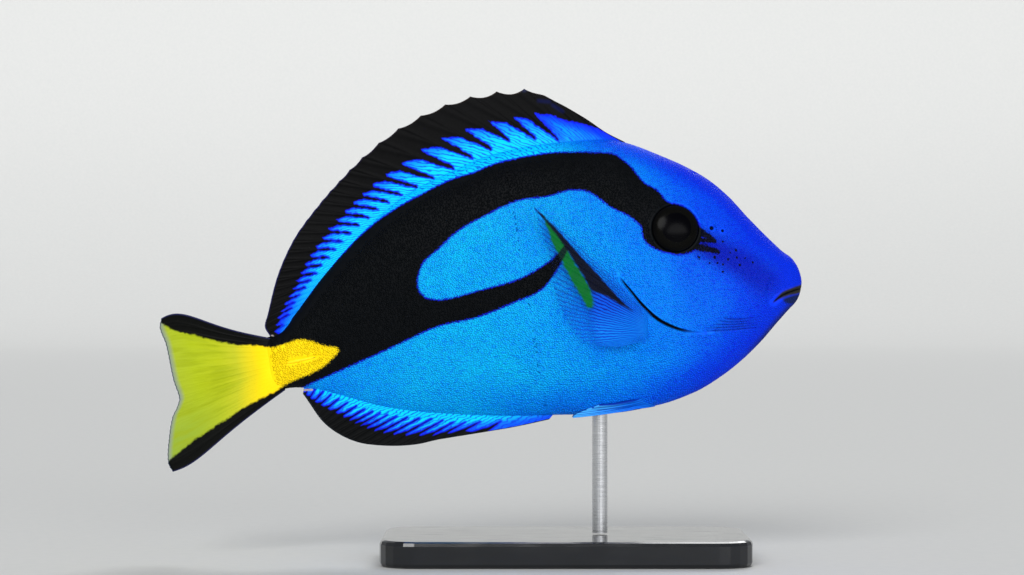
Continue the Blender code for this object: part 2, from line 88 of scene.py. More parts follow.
def smooth_curve(*points):
    """A smooth line through given points, in cubic pieces that never overshoot."""
    x, y = np.array(points, float).T
    chord = np.diff(y) / np.diff(x)
    before, after = chord[:-1], chord[1:]
    same_way = before * after > 0
    both = np.where(same_way, before + after, 1.0)
    inner = np.where(same_way, 2 * before * after / both, 0.0)
    slope = np.concatenate((chord[:1], inner, chord[-1:]))

    def value(at):
        at = np.clip(np.asarray(at, float), x[0], x[-1])
        i = np.clip(np.searchsorted(x, at) - 1, 0, len(x) - 2)
        width = x[i + 1] - x[i]
        t = (at - x[i]) / width
        rest = 1 - t
        return (
            y[i] * rest * rest * (1 + 2 * t)
            + y[i + 1] * t * t * (3 - 2 * t)
            + width * t * rest * (slope[i] * rest - slope[i + 1] * t)
        )

    return value


def profile(*points):
    """A body outline over u. It runs on the root of u, which rounds the snout off."""
    over_root = smooth_curve(*[(math.sqrt(u), value) for u, value in points])
    return lambda u: over_root(np.sqrt(np.maximum(u, 0.0)))


def ease(low, high, value):
    """A soft step: 0 up to low, 1 from high on. It falls instead where low is above high."""
    share = np.clip((value - low) / (high - low), 0.0, 1.0)
    return share * share * (3 - 2 * share)


def bell(middle, width, value):
    """A soft hill: 1 at its middle, and nearly 0 two widths away from it."""
    return np.exp(-(((value - middle) / width) ** 2))


def toward(start, end, share):
    """The value at a share of the way from start to end."""
    return start + (end - start) * share


halfway = smooth_curve((0, 0), (2, 1), (4, 8))(1.0)
print("a smooth line halfway up its first step:", round(float(halfway), 2))

# %% [markdown]
# A tang is a deep, flat disc: its back and belly bow out almost evenly, its snout is short and
# blunt, and its tail's base is thin. Its width is a third of its depth, and is taken from the
# species, because a view from the side doesn't show it.

# %% Draw the back, the belly and the width
BODY_LENGTH = 124.0
back = profile(
    (0, 0.6), (0.15, 3.7), (1.1, 5.9), (2.7, 7.5), (5.5, 11.1), (9.3, 16.4), (13, 22.0),
    (16.9, 26.5), (21, 29.9), (27.4, 34.1), (33.7, 37.7), (38, 39.4), (46, 40.4), (56, 40.9),
    (65, 40.4), (75, 38.1), (85, 34.9), (93, 30.7), (101, 25.0), (109, 18.1), (116, 11.3),
    (120, 7.6), (124, 6.9),
)
belly = profile(
    (0, 0.6), (0.15, -1.7), (0.8, -3.4), (1.7, -4.5), (3.5, -5.9), (6.7, -8.5), (11.6, -12.6),
    (15.6, -15.4), (20.7, -18.3), (28.2, -21.3), (36.6, -22.8), (44, -23.1), (53, -22.3),
    (60, -21.3), (69, -20.1), (78, -18.5), (91, -15.6), (100, -12.8), (108.8, -8.9),
    (114, -6.6), (120, -5.4), (124, -5.6),
)
half_width = profile(
    (0, 0.0), (0.15, 1.5), (1, 2.4), (3, 3.5), (7, 4.9), (15, 7.0), (27, 9.3), (38, 10.6),
    (50, 10.8), (62, 10.2), (78, 8.3), (93, 6.2), (108, 4.1), (118, 3.0), (122, 2.2), (124, 1.1),
)
print("deepest, mm:", round(float(back(50) - belly(50)), 1))

# %% [markdown]
# Everything on the fish is placed on a straight fish first: u runs back from the snout, v up and
# y to the left, in millimetres. One function then swings the tail, pitches the fish nose up and
# gives metres. Pieces made this way need no turning of their own, so each object stays at the
# origin, where the patterns expect it.

# %% Place the straight fish in the model
PITCH = math.radians(9.2)
SNOUT = (46.0, 64.0)
TAIL_SWEEP = 4.0
SWEEP_STARTS = 60.0
SWEEP_ENDS = 150.0
SECTION_FULLNESS = 2.3
SECTION_EDGE = 0.6
NOSE_BULGE = 0.5
NOSE_SOFTNESS = 0.15


def section(share):
    """The body's half width at a share of its half height, from -1 at the belly to 1."""
    return (1 - np.minimum(np.abs(share), 1.0) ** SECTION_FULLNESS) ** SECTION_EDGE


def flank(u, v):
    """How far the body's side lies from the middle plane at u and v."""
    middle = (back(u) + belly(u)) / 2
    half = np.maximum((back(u) - belly(u)) / 2, 1e-6)
    return half_width(u) * section((v - middle) / half)


def to_model(u, v, y):
    """Points of the straight fish, in mm, as points of the model in metres."""
    u, v, y = np.broadcast_arrays(*(np.asarray(part, float) for part in (u, v, y)))
    behind = np.clip((u - SWEEP_STARTS) / (SWEEP_ENDS - SWEEP_STARTS), 0.0, None)
    x = SNOUT[0] - u * math.cos(PITCH) - v * math.sin(PITCH)
    z = SNOUT[1] - u * math.sin(PITCH) + v * math.cos(PITCH)
    return np.stack((x, y + TAIL_SWEEP * behind**2, z), -1) * MM


print("snout, mm:", to_model(0, 0, 0) / MM)

# %% [markdown]
# A few small helpers serve every piece. They store values on a mesh's points, turn points and
# faces into an object, lay quads over a grid of points, and turn a hex colour, as a colour chart
# gives it, into the linear values that Blender works with.

# %% Make meshes, grids and colours


def store(mesh, values):
    """Stores named values on the points of a mesh."""
    for label, numbers in values.items():
        layer = mesh.attributes.new(label, "FLOAT", "POINT")
        layer.data.foreach_set("value", np.asarray(numbers, np.float32).ravel())


def make_piece(name, points, faces, values=None):
    """A smooth object at the origin, its faces outward, with named values on its points."""
    mesh = bpy.data.meshes.new(name)
    mesh.from_pydata(np.asarray(points).tolist(), [], [tuple(map(int, face)) for face in faces])
    bm = bmesh.new()
    bm.from_mesh(mesh)
    bmesh.ops.recalc_face_normals(bm, faces=bm.faces)
    bm.to_mesh(mesh)
    bm.free()
    store(mesh, values or {})
    mesh.shade_smooth()
    return linked(name, mesh)


def grid_quads(columns, rows, first=0, ring=False):
    """Quads over a grid of points stored column by column; a ring joins the last column on."""
    index = first + np.arange(columns * rows).reshape(columns, rows)
    if ring:
        index = np.vstack((index, index[:1]))
    corners = (index[:-1, :-1], index[1:, :-1], index[1:, 1:], index[:-1, 1:])
    return np.stack([corner.ravel() for corner in corners], 1)


def colour(code):
    """The linear colour of an sRGB hex code."""
    parts = [int(code[i:i + 2], 16) / 255 for i in (1, 3, 5)]
    linear = [p / 12.92 if p <= 0.04045 else ((p + 0.055) / 1.055) ** 2.4 for p in parts]
    return (*linear, 1.0)


print("mid blue, linear:", [round(part, 3) for part in colour("#0483FA")])

# %% [markdown]
# The markings are areas with clean edges, so each is kept as a signed distance: how many
# millimetres a point lies inside its outline. A shader can put an edge exactly where that
# distance is zero, however coarse the mesh is, and can also draw the thin seam of royal blue that
# follows the black on a real tang.

# %% Measure distances to outlines


def rounded(points, closed=True, steps=5):
    """The points of a line, with steps more between each two, on a curve through them all."""
    points = np.array(points, float)
    count = len(points)
    spans = count if closed else count - 1
    share = np.arange(steps)[:, None] / steps
    made = []
    for i in range(spans):
        picks = [i - 1, i, i + 1, i + 2]
        picks = [p % count if closed else min(max(p, 0), count - 1) for p in picks]
        a, b, c, d = points[picks]
        made.append(0.5 * (2 * b + (c - a) * share + (2 * a - 5 * b + 4 * c - d) * share**2
                           + (3 * b - a - 3 * c + d) * share**3))
    if not closed:
        made.append(points[-1:])
    return np.concatenate(made)


def from_spot(u, v, spot):
    """How far a place lies from a spot, in mm."""
    return np.hypot(u - spot[0], v - spot[1])


def from_line(u, v, line):
    """Distance to an open line, its share along it, and the side: 1 left of the way it runs."""
    nearest = np.full(np.shape(u), 1e9)
    along = np.zeros(np.shape(u))
    side = np.ones(np.shape(u))
    for i, ((a, b), (c, d)) in enumerate(zip(line[:-1], line[1:])):
        run, rise = c - a, d - b
        share = np.clip(((u - a) * run + (v - b) * rise) / (run * run + rise * rise), 0, 1)
        far = np.hypot(u - a - share * run, v - b - share * rise)
        better = far < nearest
        nearest = np.where(better, far, nearest)
        along = np.where(better, (i + share) / (len(line) - 1), along)
        side = np.where(better, np.sign(run * (v - b) - rise * (u - a)), side)
    return nearest, along, side


def inside(u, v, outline):
    """The signed distance to a closed outline, in mm, positive inside."""
    closed = np.vstack((outline, outline[:1]))
    crossed = np.zeros(np.shape(u), bool)
    for (a, b), (c, d) in zip(closed[:-1], closed[1:]):
        if b != d:
            between = (b > v) != (d > v)
            crossed ^= between & (u < (c - a) * (v - b) / (d - b) + a)
    return np.where(crossed, 1.0, -1.0) * from_line(u, v, closed)[0]


TEST_SQUARE = np.array(((0, 0), (4, 0), (4, 4), (0, 4)), float)
test_places = np.array((2.0, 3.0, 6.0)), np.array((2.0, 2.0, 2.0))
print("inside a square of 4 mm, mm:", inside(*test_places, TEST_SQUARE))

# %% [markdown]
# A regal blue tang is blue with a black mark shaped like a painter's palette: from the eye back
# over the flank to the tail, with a branch that runs forward under an oval of blue. A yellow
# wedge points forward into the tail's base. Both outlines are drawn once, through the points
# where they turn, and serve the skin, its scales and the tail fin alike.

# %% Draw the black mark and the yellow wedge
BLACK_MARK = rounded((
    (126.0, 9.5), (117.4, 10.5), (109.2, 17.8), (103.8, 22.3), (98.5, 26.3), (93.3, 29.4),
    (88.3, 31.6), (83.3, 33.4), (76.0, 35.7), (70.0, 36.6), (64.0, 37.9), (54.6, 38.3),
    (50.0, 38.0), (43.2, 36.9), (38.2, 35.8), (35.6, 33.5), (34.2, 31.7), (32.2, 28.1),
    (29.4, 25.8), (27.5, 22.7), (24.7, 21.5), (22.3, 19.0), (21.2, 16.0), (21.3, 13.4),
    (22.3, 11.6), (24.3, 10.8), (26.6, 10.7), (28.8, 11.2), (31.3, 12.4), (33.4, 14.1),
    (34.2, 15.9), (34.2, 17.9), (35.0, 19.4), (36.8, 21.3), (40.5, 24.0), (44.6, 28.0),
    (49.1, 29.2), (54.5, 28.6), (60.8, 28.8), (68.1, 26.9), (75.5, 24.2), (80.7, 20.8),
    (84.7, 18.2), (86.7, 14.3), (86.4, 11.2), (84.2, 9.5), (80.2, 8.9), (73.2, 9.6),
    (63.7, 10.8), (56.3, 13.6), (53.4, 16.0), (52.0, 17.2), (51.4, 16.4), (52.6, 14.4),
    (54.1, 12.6), (56.4, 10.1), (59.6, 7.6), (64.5, 6.3), (74.1, 4.1), (83.6, 3.4),
    (90.9, 1.5), (98.2, -0.6), (107.9, -3.2), (116.5, -5.6), (121.0, -7.5), (126.0, -9.5),
))
YELLOW_WEDGE = rounded((
    (106.9, 1.7), (110.4, 3.1), (113.2, 4.7), (116.3, 5.4), (118.7, 4.9), (122.5, 4.6),
    (125.6, 5.5), (129.7, 6.2), (135.9, 8.4), (139.6, 10.1), (144.0, 11.8), (150.0, 14.4),
    (156.0, 0.0), (153.5, -19.0), (149.9, -17.2), (144.7, -14.4), (139.7, -12.0),
    (134.6, -9.8), (129.6, -7.6), (124.2, -5.9), (119.3, -4.1), (113.7, -2.7), (109.9, -1.0),
))
print("points on the outlines:", len(BLACK_MARK), len(YELLOW_WEDGE))

# %% [markdown]
# The back fin's first spines and the soft rays after them all lean back. Each ray has a number,
# and smooth lines over that number give its root and its tip. The skin needs them too, because
# the fin's streaks run on down over the back until they meet the black.

# %% Lay out the back fin's rays
FIN_ROOT_DEPTH = 2.0
DORSAL_RAYS = 31
dorsal_root = smooth_curve(
    (0, 34.0), (1, 37.5), (2, 41.0), (3, 44.2), (4, 47.4), (5, 51.3), (6, 56.5), (8, 66.8),
    (10, 77.1), (12, 84.5), (14, 89.7), (18, 98.1), (22, 104.9), (26, 109.8), (28, 112.2),
    (30, 119.0),
)
dorsal_tip_u = smooth_curve(
    (0, 34.6), (0.5, 38.3), (1, 43.0), (2, 48.5), (3, 55.5), (4, 61.9), (6, 74.0), (8, 85.5),
    (10, 94.8), (12, 100.9), (14, 105.6), (18, 113.6), (22, 118.9), (26, 122.1), (28, 123.2),
    (30, 122.4),
)
dorsal_tip_v = smooth_curve(
    (0, 38.2), (0.5, 40.9), (1, 45.3), (2, 49.7), (3, 54.0), (4, 54.4), (5, 54.2), (6, 53.3),
    (8, 49.6), (10, 44.4), (12, 39.9), (14, 36.0), (18, 28.0), (22, 19.8), (26, 12.2),
    (28, 9.4), (30, 7.2),
)
streak_number = smooth_curve((0, 0.0), (6, 27.0), (12, 52.0), (20, 80.0), (30, 108.0))
streak_lean = smooth_curve((0, 2.0), (6, 4.0), (12, 6.0), (24, 9.0), (30, 9.0))
dorsal_blue = smooth_curve((0, 0.3), (1, 0.42), (2, 0.55), (3, 0.7), (4, 0.86), (5, 0.97),
                           (7, 1.04), (20, 1.02), (26, 0.85), (30, 0.6))


def dorsal_foot(k):
    """The height at which a ray of the back fin starts, inside the body."""
    return back(dorsal_root(k)) - FIN_ROOT_DEPTH


def dorsal_spot(k, s):
    """A place of the back fin from its ray number and its share of the ray's length."""
    u = toward(dorsal_root(k), dorsal_tip_u(k), s)
    return u, toward(dorsal_foot(k), dorsal_tip_v(k), s)


def along_ray(u, v):
    """The ray number and the share of that ray's length at a place on or below the back fin."""
    k = np.linspace(0, DORSAL_RAYS - 1, 500)
    run, rise = dorsal_tip_u(k) - dorsal_root(k), dorsal_tip_v(k) - dorsal_foot(k)
    aside = rise * (u[:, None] - dorsal_root(k)) - run * (v[:, None] - dorsal_foot(k))
    nearest = np.abs(aside / np.hypot(run, rise)).argmin(1)
    run, rise, k = run[nearest], rise[nearest], k[nearest]
    ahead = run * (u - dorsal_root(k)) + rise * (v - dorsal_foot(k))
    return k, ahead / (run * run + rise * rise)


def streak(k, s):
    """A number that grows by one from each dark streak of the back fin to the next."""
    return streak_number(k) - streak_lean(k) * s


print("sixth spine, mm long:", round(math.dist(dorsal_spot(5.0, 0.0), dorsal_spot(5.0, 1.0)), 1))

# %% [markdown]
# The blue isn't one blue. It is royal on the brow and snout, mid blue on the cheek and brightest,
# almost cyan, along the back and over the rear flank. That is one soft value over the body, and
# the shader turns it into colour with a ramp. In front of the eye lies a dusky smudge with black
# strokes and dots in it.

# %% Spread the blues over the body
BODY_BLUE = 0.91
blue_by_length = smooth_curve(
    (-2, 0.06), (10, 0.12), (20, 0.34), (25, 0.46), (31, 0.66), (38, 0.76), (45, 0.85),
    (58, 0.93), (72, 1.0), (86, 0.98), (110, 0.86), (124, 0.8),
)


def blueness(u, v):
    """Where the blue at a place lies between royal, 0, and cyan, 1, with painted shade in places.
    """
    value = blue_by_length(u)
    brow = ease(7.0, 1.0, back(u) - v) * ease(52.0, 42.0, u)
    # The underside is darker: partly the fish's own deeper blue, partly painted shade.
    throat = ease(11.0, 2.0, v - belly(u)) * ease(52.0, 30.0, u)
    keel = ease(10.0, 1.0, v - belly(u)) * ease(82.0, 60.0, u) * ease(10.0, 30.0, u)
    cheek = bell(19.0, 8.0, u) * bell(-1.0, 8.0, v)
    # A painted shadow of the breast fin darkens the flank under it.
    fin_shadow = bell(46.0, 8.5, u) * bell(-1.0, 8.0, v)
    value = value - 0.38 * brow - 0.1 * throat - 0.26 * keel + 0.14 * cheek - 0.22 * fin_shadow
    return np.clip(BODY_BLUE * value, 0, 1)


DARK_STREAKS = (
    ((22.3, 15.6), (20.9, 14.7), (19.6, 13.6), (18.4, 12.4), 1.5),
    ((22.6, 11.8), (20.9, 11.1), (19.3, 10.5), (17.9, 9.8), 1.3),
    ((22.2, 13.2), (21.2, 13.0), (20.4, 12.7), (19.6, 12.4), 0.9),
)
FRECKLES = (
    (18.9, 8.7, 0.5), (22.5, 9.3, 0.5), (17.6, 5.2, 0.32), (18.4, 7.4, 0.34), (17.3, 6.8, 0.32),
    (16.0, 7.8, 0.38), (13.9, 7.8, 0.34), (13.5, 6.1, 0.4), (10.4, 6.2, 0.38), (13.8, 9.5, 0.4),
    (16.5, 12.0, 0.35), (20.3, 7.6, 0.26), (15.2, 9.2, 0.28), (11.9, 7.4, 0.26),
)


def smudge(u, v):
    """The dusky patch that fades forward and down from the eye."""
    line = np.array(((22.0, 13.0), (17.5, 9.6), (12.5, 6.0), (8.5, 1.8)))
    far, along, _ = from_line(u, v, line)
    return ease(4.6 + 1.4 * along, 0.8, far) * (1 - 0.3 * along)


def freckles(u, v):
    """The black strokes and dots in the dusky patch, from 0 to 1."""
    marks = [ease(dot[2], 0.45 * dot[2], from_spot(u, v, dot)) for dot in FRECKLES]
    for *line, width in DARK_STREAKS:
        far, along, _ = from_line(u, v, np.array(line))
        marks.append(ease(width * (1.3 - 0.6 * along), 0.1 * width, far))
    return np.maximum.reduce(marks)


def strip(u, v):
    """The band of back between the black mark and the fin, where no scales grow."""
    return ease(4.0, 3.0, back(u) - v) * ease(46, 54, u) * ease(123, 118, u)


test_places = np.array((2.0, 20.0, 80.0)), np.zeros(3)
print("blue of snout, cheek and rear flank:", blueness(*test_places).round(2))

# %% [markdown]
# The skin is one closed surface for head, trunk and tail base, so no seam shows. It is laid out
# as rings round the body, closer together toward the snout. Where the eye, mouth, nostrils, gill
# slit and tail spine come, the faces are split again, because a groove half a millimetre wide
# needs points closer than that.

# %% Lay out the skin
STATIONS = 236
AROUND = 248
FIRST_STATION = 0.35
STATION_CROWDING = 1.6
SPLIT_REACHES = (1.5, 0.7)
EYE = (26.8, 16.6)
EYE_RADIUS = 5.4
NOSTRILS = ((18.5, 15.4, 0.5), (16.1, 14.4, 0.36))
MOUTH_LINE = rounded((
    (-1.5, -1.35), (0.5, -1.6), (2.4, -1.9), (4.3, -2.3), (5.7, -2.9), (6.9, -3.6),
), closed=False, steps=3)
CHIN_FOLDS = [
    rounded(((25.0 - 1.4 * i, 0.62 * i - 7.5), (16.5, 0.57 * i - 8.35), (8.8, 0.6 * i - 9.0)),
            closed=False, steps=4)
    for i in range(5)
]
GILL_SLIT = rounded((
    (41.3, 8.4), (40.0, 6.0), (38.9, 4.2), (37.5, 1.7), (35.8, -0.8), (34.5, -2.4),
    (32.9, -3.9), (30.8, -5.3), (28.7, -6.4), (26.1, -7.3), (22.0, -8.1),
), closed=False)
SPINE_BASE = (119.0, 0.5)
SPINE_TIP = (112.6, 0.7)
SPINE_GROOVE = np.array((SPINE_TIP, SPINE_BASE))


def on_body(u, across, upward):
    """A body point from its station and its place on a unit circle: (u, v, y) in mm."""
    radius = np.hypot(across, upward)
    share = upward / np.maximum(radius, 1e-9)
    middle = (back(u) + belly(u)) / 2
    half = (back(u) - belly(u)) / 2
    filled = np.where(radius > 0.9, 1.0, radius)
    v = middle + half * share * filled
    y = np.sign(across.round(9)) * half_width(u) * section(share) * filled
    return u - NOSE_BULGE * np.exp(-u / NOSE_SOFTNESS), v, y


def feature_distance(u, v):
    """How far a place lies from the nearest small feature of the skin."""
    rim = np.abs(from_spot(u, v, EYE) - EYE_RADIUS)
    pits = [from_spot(u, v, nostril) for nostril in NOSTRILS]
    dots = [from_spot(u, v, dot) + 0.5 for dot in FRECKLES]
    lines = [from_line(u, v, line)[0] for line in (GILL_SLIT, MOUTH_LINE)]
    soft = [from_line(u, v, line)[0] + 0.7 for line in (SPINE_GROOVE, *CHIN_FOLDS)]
    return np.minimum.reduce([rim, *pits, *dots, *lines, *soft])


rings = np.array((FIRST_STATION, *range(1, STATIONS + 1)))
ring_u = BODY_LENGTH * (rings / STATIONS) ** STATION_CROWDING
turn = 2 * np.pi * np.arange(AROUND) / AROUND
layout = bmesh.new()
rows = [[layout.verts.new((u, a, b)) for a, b in zip(np.sin(turn), np.cos(turn))] for u in ring_u]
for row, following in zip(rows, rows[1:]):
    for i in range(AROUND):
        j = (i + 1) % AROUND
        layout.faces.new((row[i], row[j], following[j], following[i]))
for row in (rows[0], rows[-1]):
    hub = layout.verts.new((row[0].co.x, 0, 0))
    for i in range(AROUND):
        layout.faces.new((row[i], row[(i + 1) % AROUND], hub))
for reach in SPLIT_REACHES:
    places = np.array([face.calc_center_median() for face in layout.faces])
    u, v, _ = on_body(*places.T)
    near = feature_distance(u, v) < reach
    edges = {edge for face, wanted in zip(layout.faces[:], near) if wanted for edge in face.edges}
    bmesh.ops.subdivide_edges(layout, edges=list(edges), cuts=1, use_grid_fill=True)
bmesh.ops.triangulate(layout, faces=[face for face in layout.faces if len(face.verts) > 4])
bmesh.ops.recalc_face_normals(layout, faces=layout.faces)
layout.verts.index_update()
skin_layout = np.array([vertex.co for vertex in layout.verts])
skin_faces = [[vertex.index for vertex in face.verts] for face in layout.faces]
layout.free()
print("skin points:", len(skin_layout), "faces:", len(skin_faces))

# %% [markdown]
# The skin's relief is a height over that smooth body, worked out from the same distances: a
# raised rim round the sunken eye, lips on either side of the mouth, pits for the nostrils, the
# gill cover's edge standing over its slit, folds under the jaw, a low pad that carries the breast
# fin and the groove that the tail spine folds into. All of it is moved along the surface's own
# direction, in millimetres.

# %% Work out the relief
SCALE_DEPTH = 0.06
EYE_RIM = 5.75
FIN_PAD = np.array(((36.4, -2.6), (38.4, -7.0)))


def eye_rim(u, v):
    """The swollen rim round the eye, and the socket that the eyeball fills."""
    far = from_spot(u, v, EYE)
    return 0.3 * bell(EYE_RIM, 0.4, far) - 1.3 * ease(5.45, 4.9, far)


def nostril(u, v, spot):
    """One nostril: a pit inside a low collar."""
    far, radius = from_spot(u, v, spot), spot[2]
    return 0.16 * bell(1.5 * radius, 0.2, far) - 0.5 * ease(1.1 * radius, 0.4 * radius, far)


def mouth(u, v):
    """The lips on either side of the mouth's line, and the crease behind its corner."""
    far, along, _ = from_line(u, v, MOUTH_LINE)
    lips = 0.2 * (1 - 0.5 * along) * ease(7.6, 5.6, u) * ease(0.0, 2.5, u) * bell(0.75, 0.42, far)
    parting = 0.4 * ease(7.4, 6.4, u) * ease(-0.6, 2.0, u) * bell(0.0, 0.22, far)
    round_corner = from_spot(u, v, (3.6, -2.2))
    crease = 0.12 * bell(5.5, 0.5, round_corner) - 0.16 * bell(4.6, 0.4, round_corner)
    return lips - parting + crease * ease(5.5, 7.5, u)


def gill_cover(u, v):
    """The gill cover's edge, standing over the slit behind it."""
    far, along, side = from_line(u, v, GILL_SLIT)
    ends = ease(0.0, 0.12, along) * ease(1.0, 0.72, along)
    behind = far * side
    edge = 0.3 * ease(2.6, 0.0, -behind) * (behind < 0)
    return ends * (edge - 0.75 * bell(0.2, 0.3, behind))


def chin_folds(u, v):
    """How deep a place lies in one of the fine folds between gill slit and chin, 0 to 1."""
    depth = np.zeros(np.shape(u))
    for line in CHIN_FOLDS:
        far, along, _ = from_line(u, v, line)
        ends = ease(0.0, 0.25, along) * ease(0.95, 0.5, along)
        depth = np.maximum(depth, bell(0.0, 0.17, far) * ends)
    return depth


def relief(u, v):
    """The height of the skin over the smooth body at a place in the side view, in mm."""
    groove = ease(0.75, 0.4, from_line(u, v, SPINE_GROOVE)[0])
    pad = ease(3.4, 0.6, from_line(u, v, FIN_PAD)[0])
    pits = sum(nostril(u, v, spot) for spot in NOSTRILS)
    return (eye_rim(u, v) + pits + mouth(u, v) + gill_cover(u, v) - 0.22 * chin_folds(u, v)
            - 0.22 * groove + 0.5 * pad - SCALE_DEPTH)


test_places = np.array((15.0, 32.55, 37.5)), np.array((0.0, 16.6, 1.7))
print("relief of cheek, eye rim and gill slit, mm:", relief(*test_places).round(2))

# %% [markdown]
# The same distances give each point of the skin its markings, one number for each, and a few
# values of painted shade: in the openings, in the folds under the jaw and under the chin. The bare
# places, such as lips, nostrils and the gill slit, get a number too, because no scales grow there.

# %% Work out the markings
LIPS = rounded((
    (-2.0, -0.3), (0.1, -0.6), (1.5, -0.75), (2.9, -1.0), (4.2, -1.3), (5.3, -1.8), (6.7, -3.1),
    (7.1, -3.7), (5.5, -3.2), (3.2, -2.75), (1.6, -2.7), (0.4, -2.65), (-2.0, -2.6),
))
LOWER_LIP = rounded((
    (-2.0, -2.6), (0.4, -2.65), (3.2, -2.75), (4.8, -3.3), (3.8, -4.6), (1.6, -4.9), (-2.0, -4.8),
))


def outside_nostrils(u, v):
    """How far a place lies outside the nearest nostril, in mm."""
    return np.minimum.reduce([from_spot(u, v, spot) - spot[2] for spot in NOSTRILS])


def opening_shade(u, v):
    """How far a place lies in the painted shade inside the gill slit, a nostril or the mouth, 0 to
    1.
    """
    far, along, side = from_line(u, v, GILL_SLIT)
    ends = ease(0.0, 0.1, along) * ease(1.0, 0.75, along)
    opening = 0.5 + 0.5 * ease(0.1, 0.5, along) - 0.3 * ease(0.6, 1.0, along)
    slit = ends * ease(0.52, 0.28, np.abs(far * side - 0.1) / opening)
    pits = ease(0.1, -0.15, outside_nostrils(u, v))
    lips_part = 0.85 * ease(0.26, 0.1, from_line(u, v, MOUTH_LINE)[0]) * ease(7.2, 6.2, u)
    return np.maximum.reduce([slit, pits, lips_part])


def markings_and_shade(u, v):
    """The values that colour the body at a place, painted shade among them, by the names materials
    read.
    """
    streaked = np.zeros(np.shape(u))
    blue = blueness(u, v)
    ridge = ease(5.0, 2.5, back(u) - v) * ease(35.0, 43.0, u)
    near = ridge > 0
    k, s = along_ray(u[near], v[near])
    streaked[near] = streak(k, s)
    blue[near] = toward(blue[near], dorsal_blue(k), ridge[near])
    # Painted shade under the chin; the lower lip's own navy shares this value.
    chin = ease(2.2, 0.2, v - belly(u)) * ease(18.0, 9.0, u) * ease(-2.4, -4.4, v)
    return {
        "black": inside(u, v, BLACK_MARK),
        "yellow": inside(u, v, YELLOW_WEDGE),
        "blue": blue,
        "smudge": smudge(u, v),
        "freckle": freckles(u, v),
        "lips": inside(u, v, LIPS),
        "chin": np.maximum(0.8 * chin, ease(-0.4, 0.5, inside(u, v, LOWER_LIP))),
        "fold_shade": chin_folds(u, v),
        "strip": strip(u, v),
        "streak": streaked,
        "slit": opening_shade(u, v),
    }


def scale_growth(u, v):
    """1 where scales grow and 0 on the eye, lips, nostrils, grooves, fin base and tail fin."""
    eye = ease(5.8, 6.2, from_spot(u, v, EYE))
    lips = ease(0.9, 1.2, from_line(u, v, MOUTH_LINE)[0])
    slit = ease(0.35, 0.6, from_line(u, v, GILL_SLIT)[0])
    pits = ease(0.2, 0.4, outside_nostrils(u, v))
    groove = ease(0.6, 0.8, from_line(u, v, SPINE_GROOVE)[0])
    tail = ease(BODY_LENGTH - 1.2, BODY_LENGTH - 1.8, u)
    return eye * lips * slit * pits * groove * tail * (1 - strip(u, v))


print("points on the lips' outlines:", len(LIPS), len(LOWER_LIP))

# %% [markdown]
# Now the layout is bent into the fish. The straight fish runs backward in the model, which turns
# the layout inside out, so its faces are flipped. Then every point moves along its own outward
# direction by the height of the relief.

# %% Make the skin
skin_u, skin_v, skin_y = on_body(*skin_layout.T)
smooth_points = to_model(skin_u, skin_v, skin_y)
skin_values = markings_and_shade(skin_u, skin_v)
skin_values["scaled"] = scale_growth(skin_u, skin_v)
skin = bpy.data.meshes.new("tang_skin")
skin.from_pydata(smooth_points.tolist(), [], skin_faces)
skin.flip_normals()
outward = np.empty(smooth_points.size)
skin.vertex_normals.foreach_get("vector", outward)
height = relief(skin_u, skin_v)[:, None] * MM
skin_points = smooth_points + outward.reshape(-1, 3) * height
skin.vertices.foreach_set("co", skin_points.ravel())
store(skin, skin_values)
skin.shade_smooth()
tang_skin = linked("tang_skin", skin)
print("black share of the skin:", round(float(np.mean(skin_values["black"] > 0)), 2))

# %% [markdown]
# Each scale gets its own small patch of a map, so the skin is unrolled first: the back
# runs along the middle of the map, each flank unrolls to its own side of it, and the cut runs
# along the belly. Lengths are true all the way round, which a view from the side wouldn't give.

# %% Unroll the skin
UNROLL_REACH = 158.0
MAP_MARGIN = 0.02
TURN_STEPS = 360

angle = np.linspace(0, np.pi, TURN_STEPS + 1)
arcs = []
for u in ring_u:
    _, v, y = on_body(np.full(TURN_STEPS + 1, u), np.sin(angle), np.cos(angle))
    arcs.append(np.concatenate(((0.0,), np.cumsum(np.hypot(np.diff(v), np.diff(y))))))
arcs = np.array(arcs)
bend = np.arctan2(np.abs(skin_layout[:, 1]), skin_layout[:, 2])
column = np.clip(bend / np.pi * TURN_STEPS, 0, TURN_STEPS)
row_at = np.interp(skin_layout[:, 0], ring_u, np.arange(len(ring_u)))
low_row = np.minimum(row_at.astype(int), len(ring_u) - 2)
low_column = np.minimum(column.astype(int), TURN_STEPS - 1)
row_share, column_share = row_at - low_row, column - low_column
arc = toward(
    toward(arcs[low_row, low_column], arcs[low_row + 1, low_column], row_share),
    toward(arcs[low_row, low_column + 1], arcs[low_row + 1, low_column + 1], row_share),
    column_share,
)
corner_point = np.empty(len(skin.loops), int)
skin.loops.foreach_get("vertex_index", corner_point)
face_of_corner = np.repeat(np.arange(len(skin.polygons)), [len(f.vertices) for f in skin.polygons])
face_side = np.zeros(len(skin.polygons))
np.add.at(face_side, face_of_corner, skin_layout[corner_point, 1])
side_of_corner = np.sign(face_side)[face_of_corner]
unrolled = np.stack((
    MAP_MARGIN + skin_layout[corner_point, 0] / UNROLL_REACH,
    0.5 + side_of_corner * arc[corner_point] / UNROLL_REACH,
), 1)
bake_map = skin.uv_layers.new(name="OFBake")
bake_map.data.foreach_set("uv", unrolled.astype(np.float32).ravel())
print("unrolled from", unrolled.min(0).round(3), "to", unrolled.max(0).round(3))

# %% [markdown]
# One small function adds a node to any tree, with its settings, its values and its links. Both
# materials and Geometry Nodes trees are built with it, so each call shows Blender's own name for
# the node and its settings.

# %% Add nodes to a tree


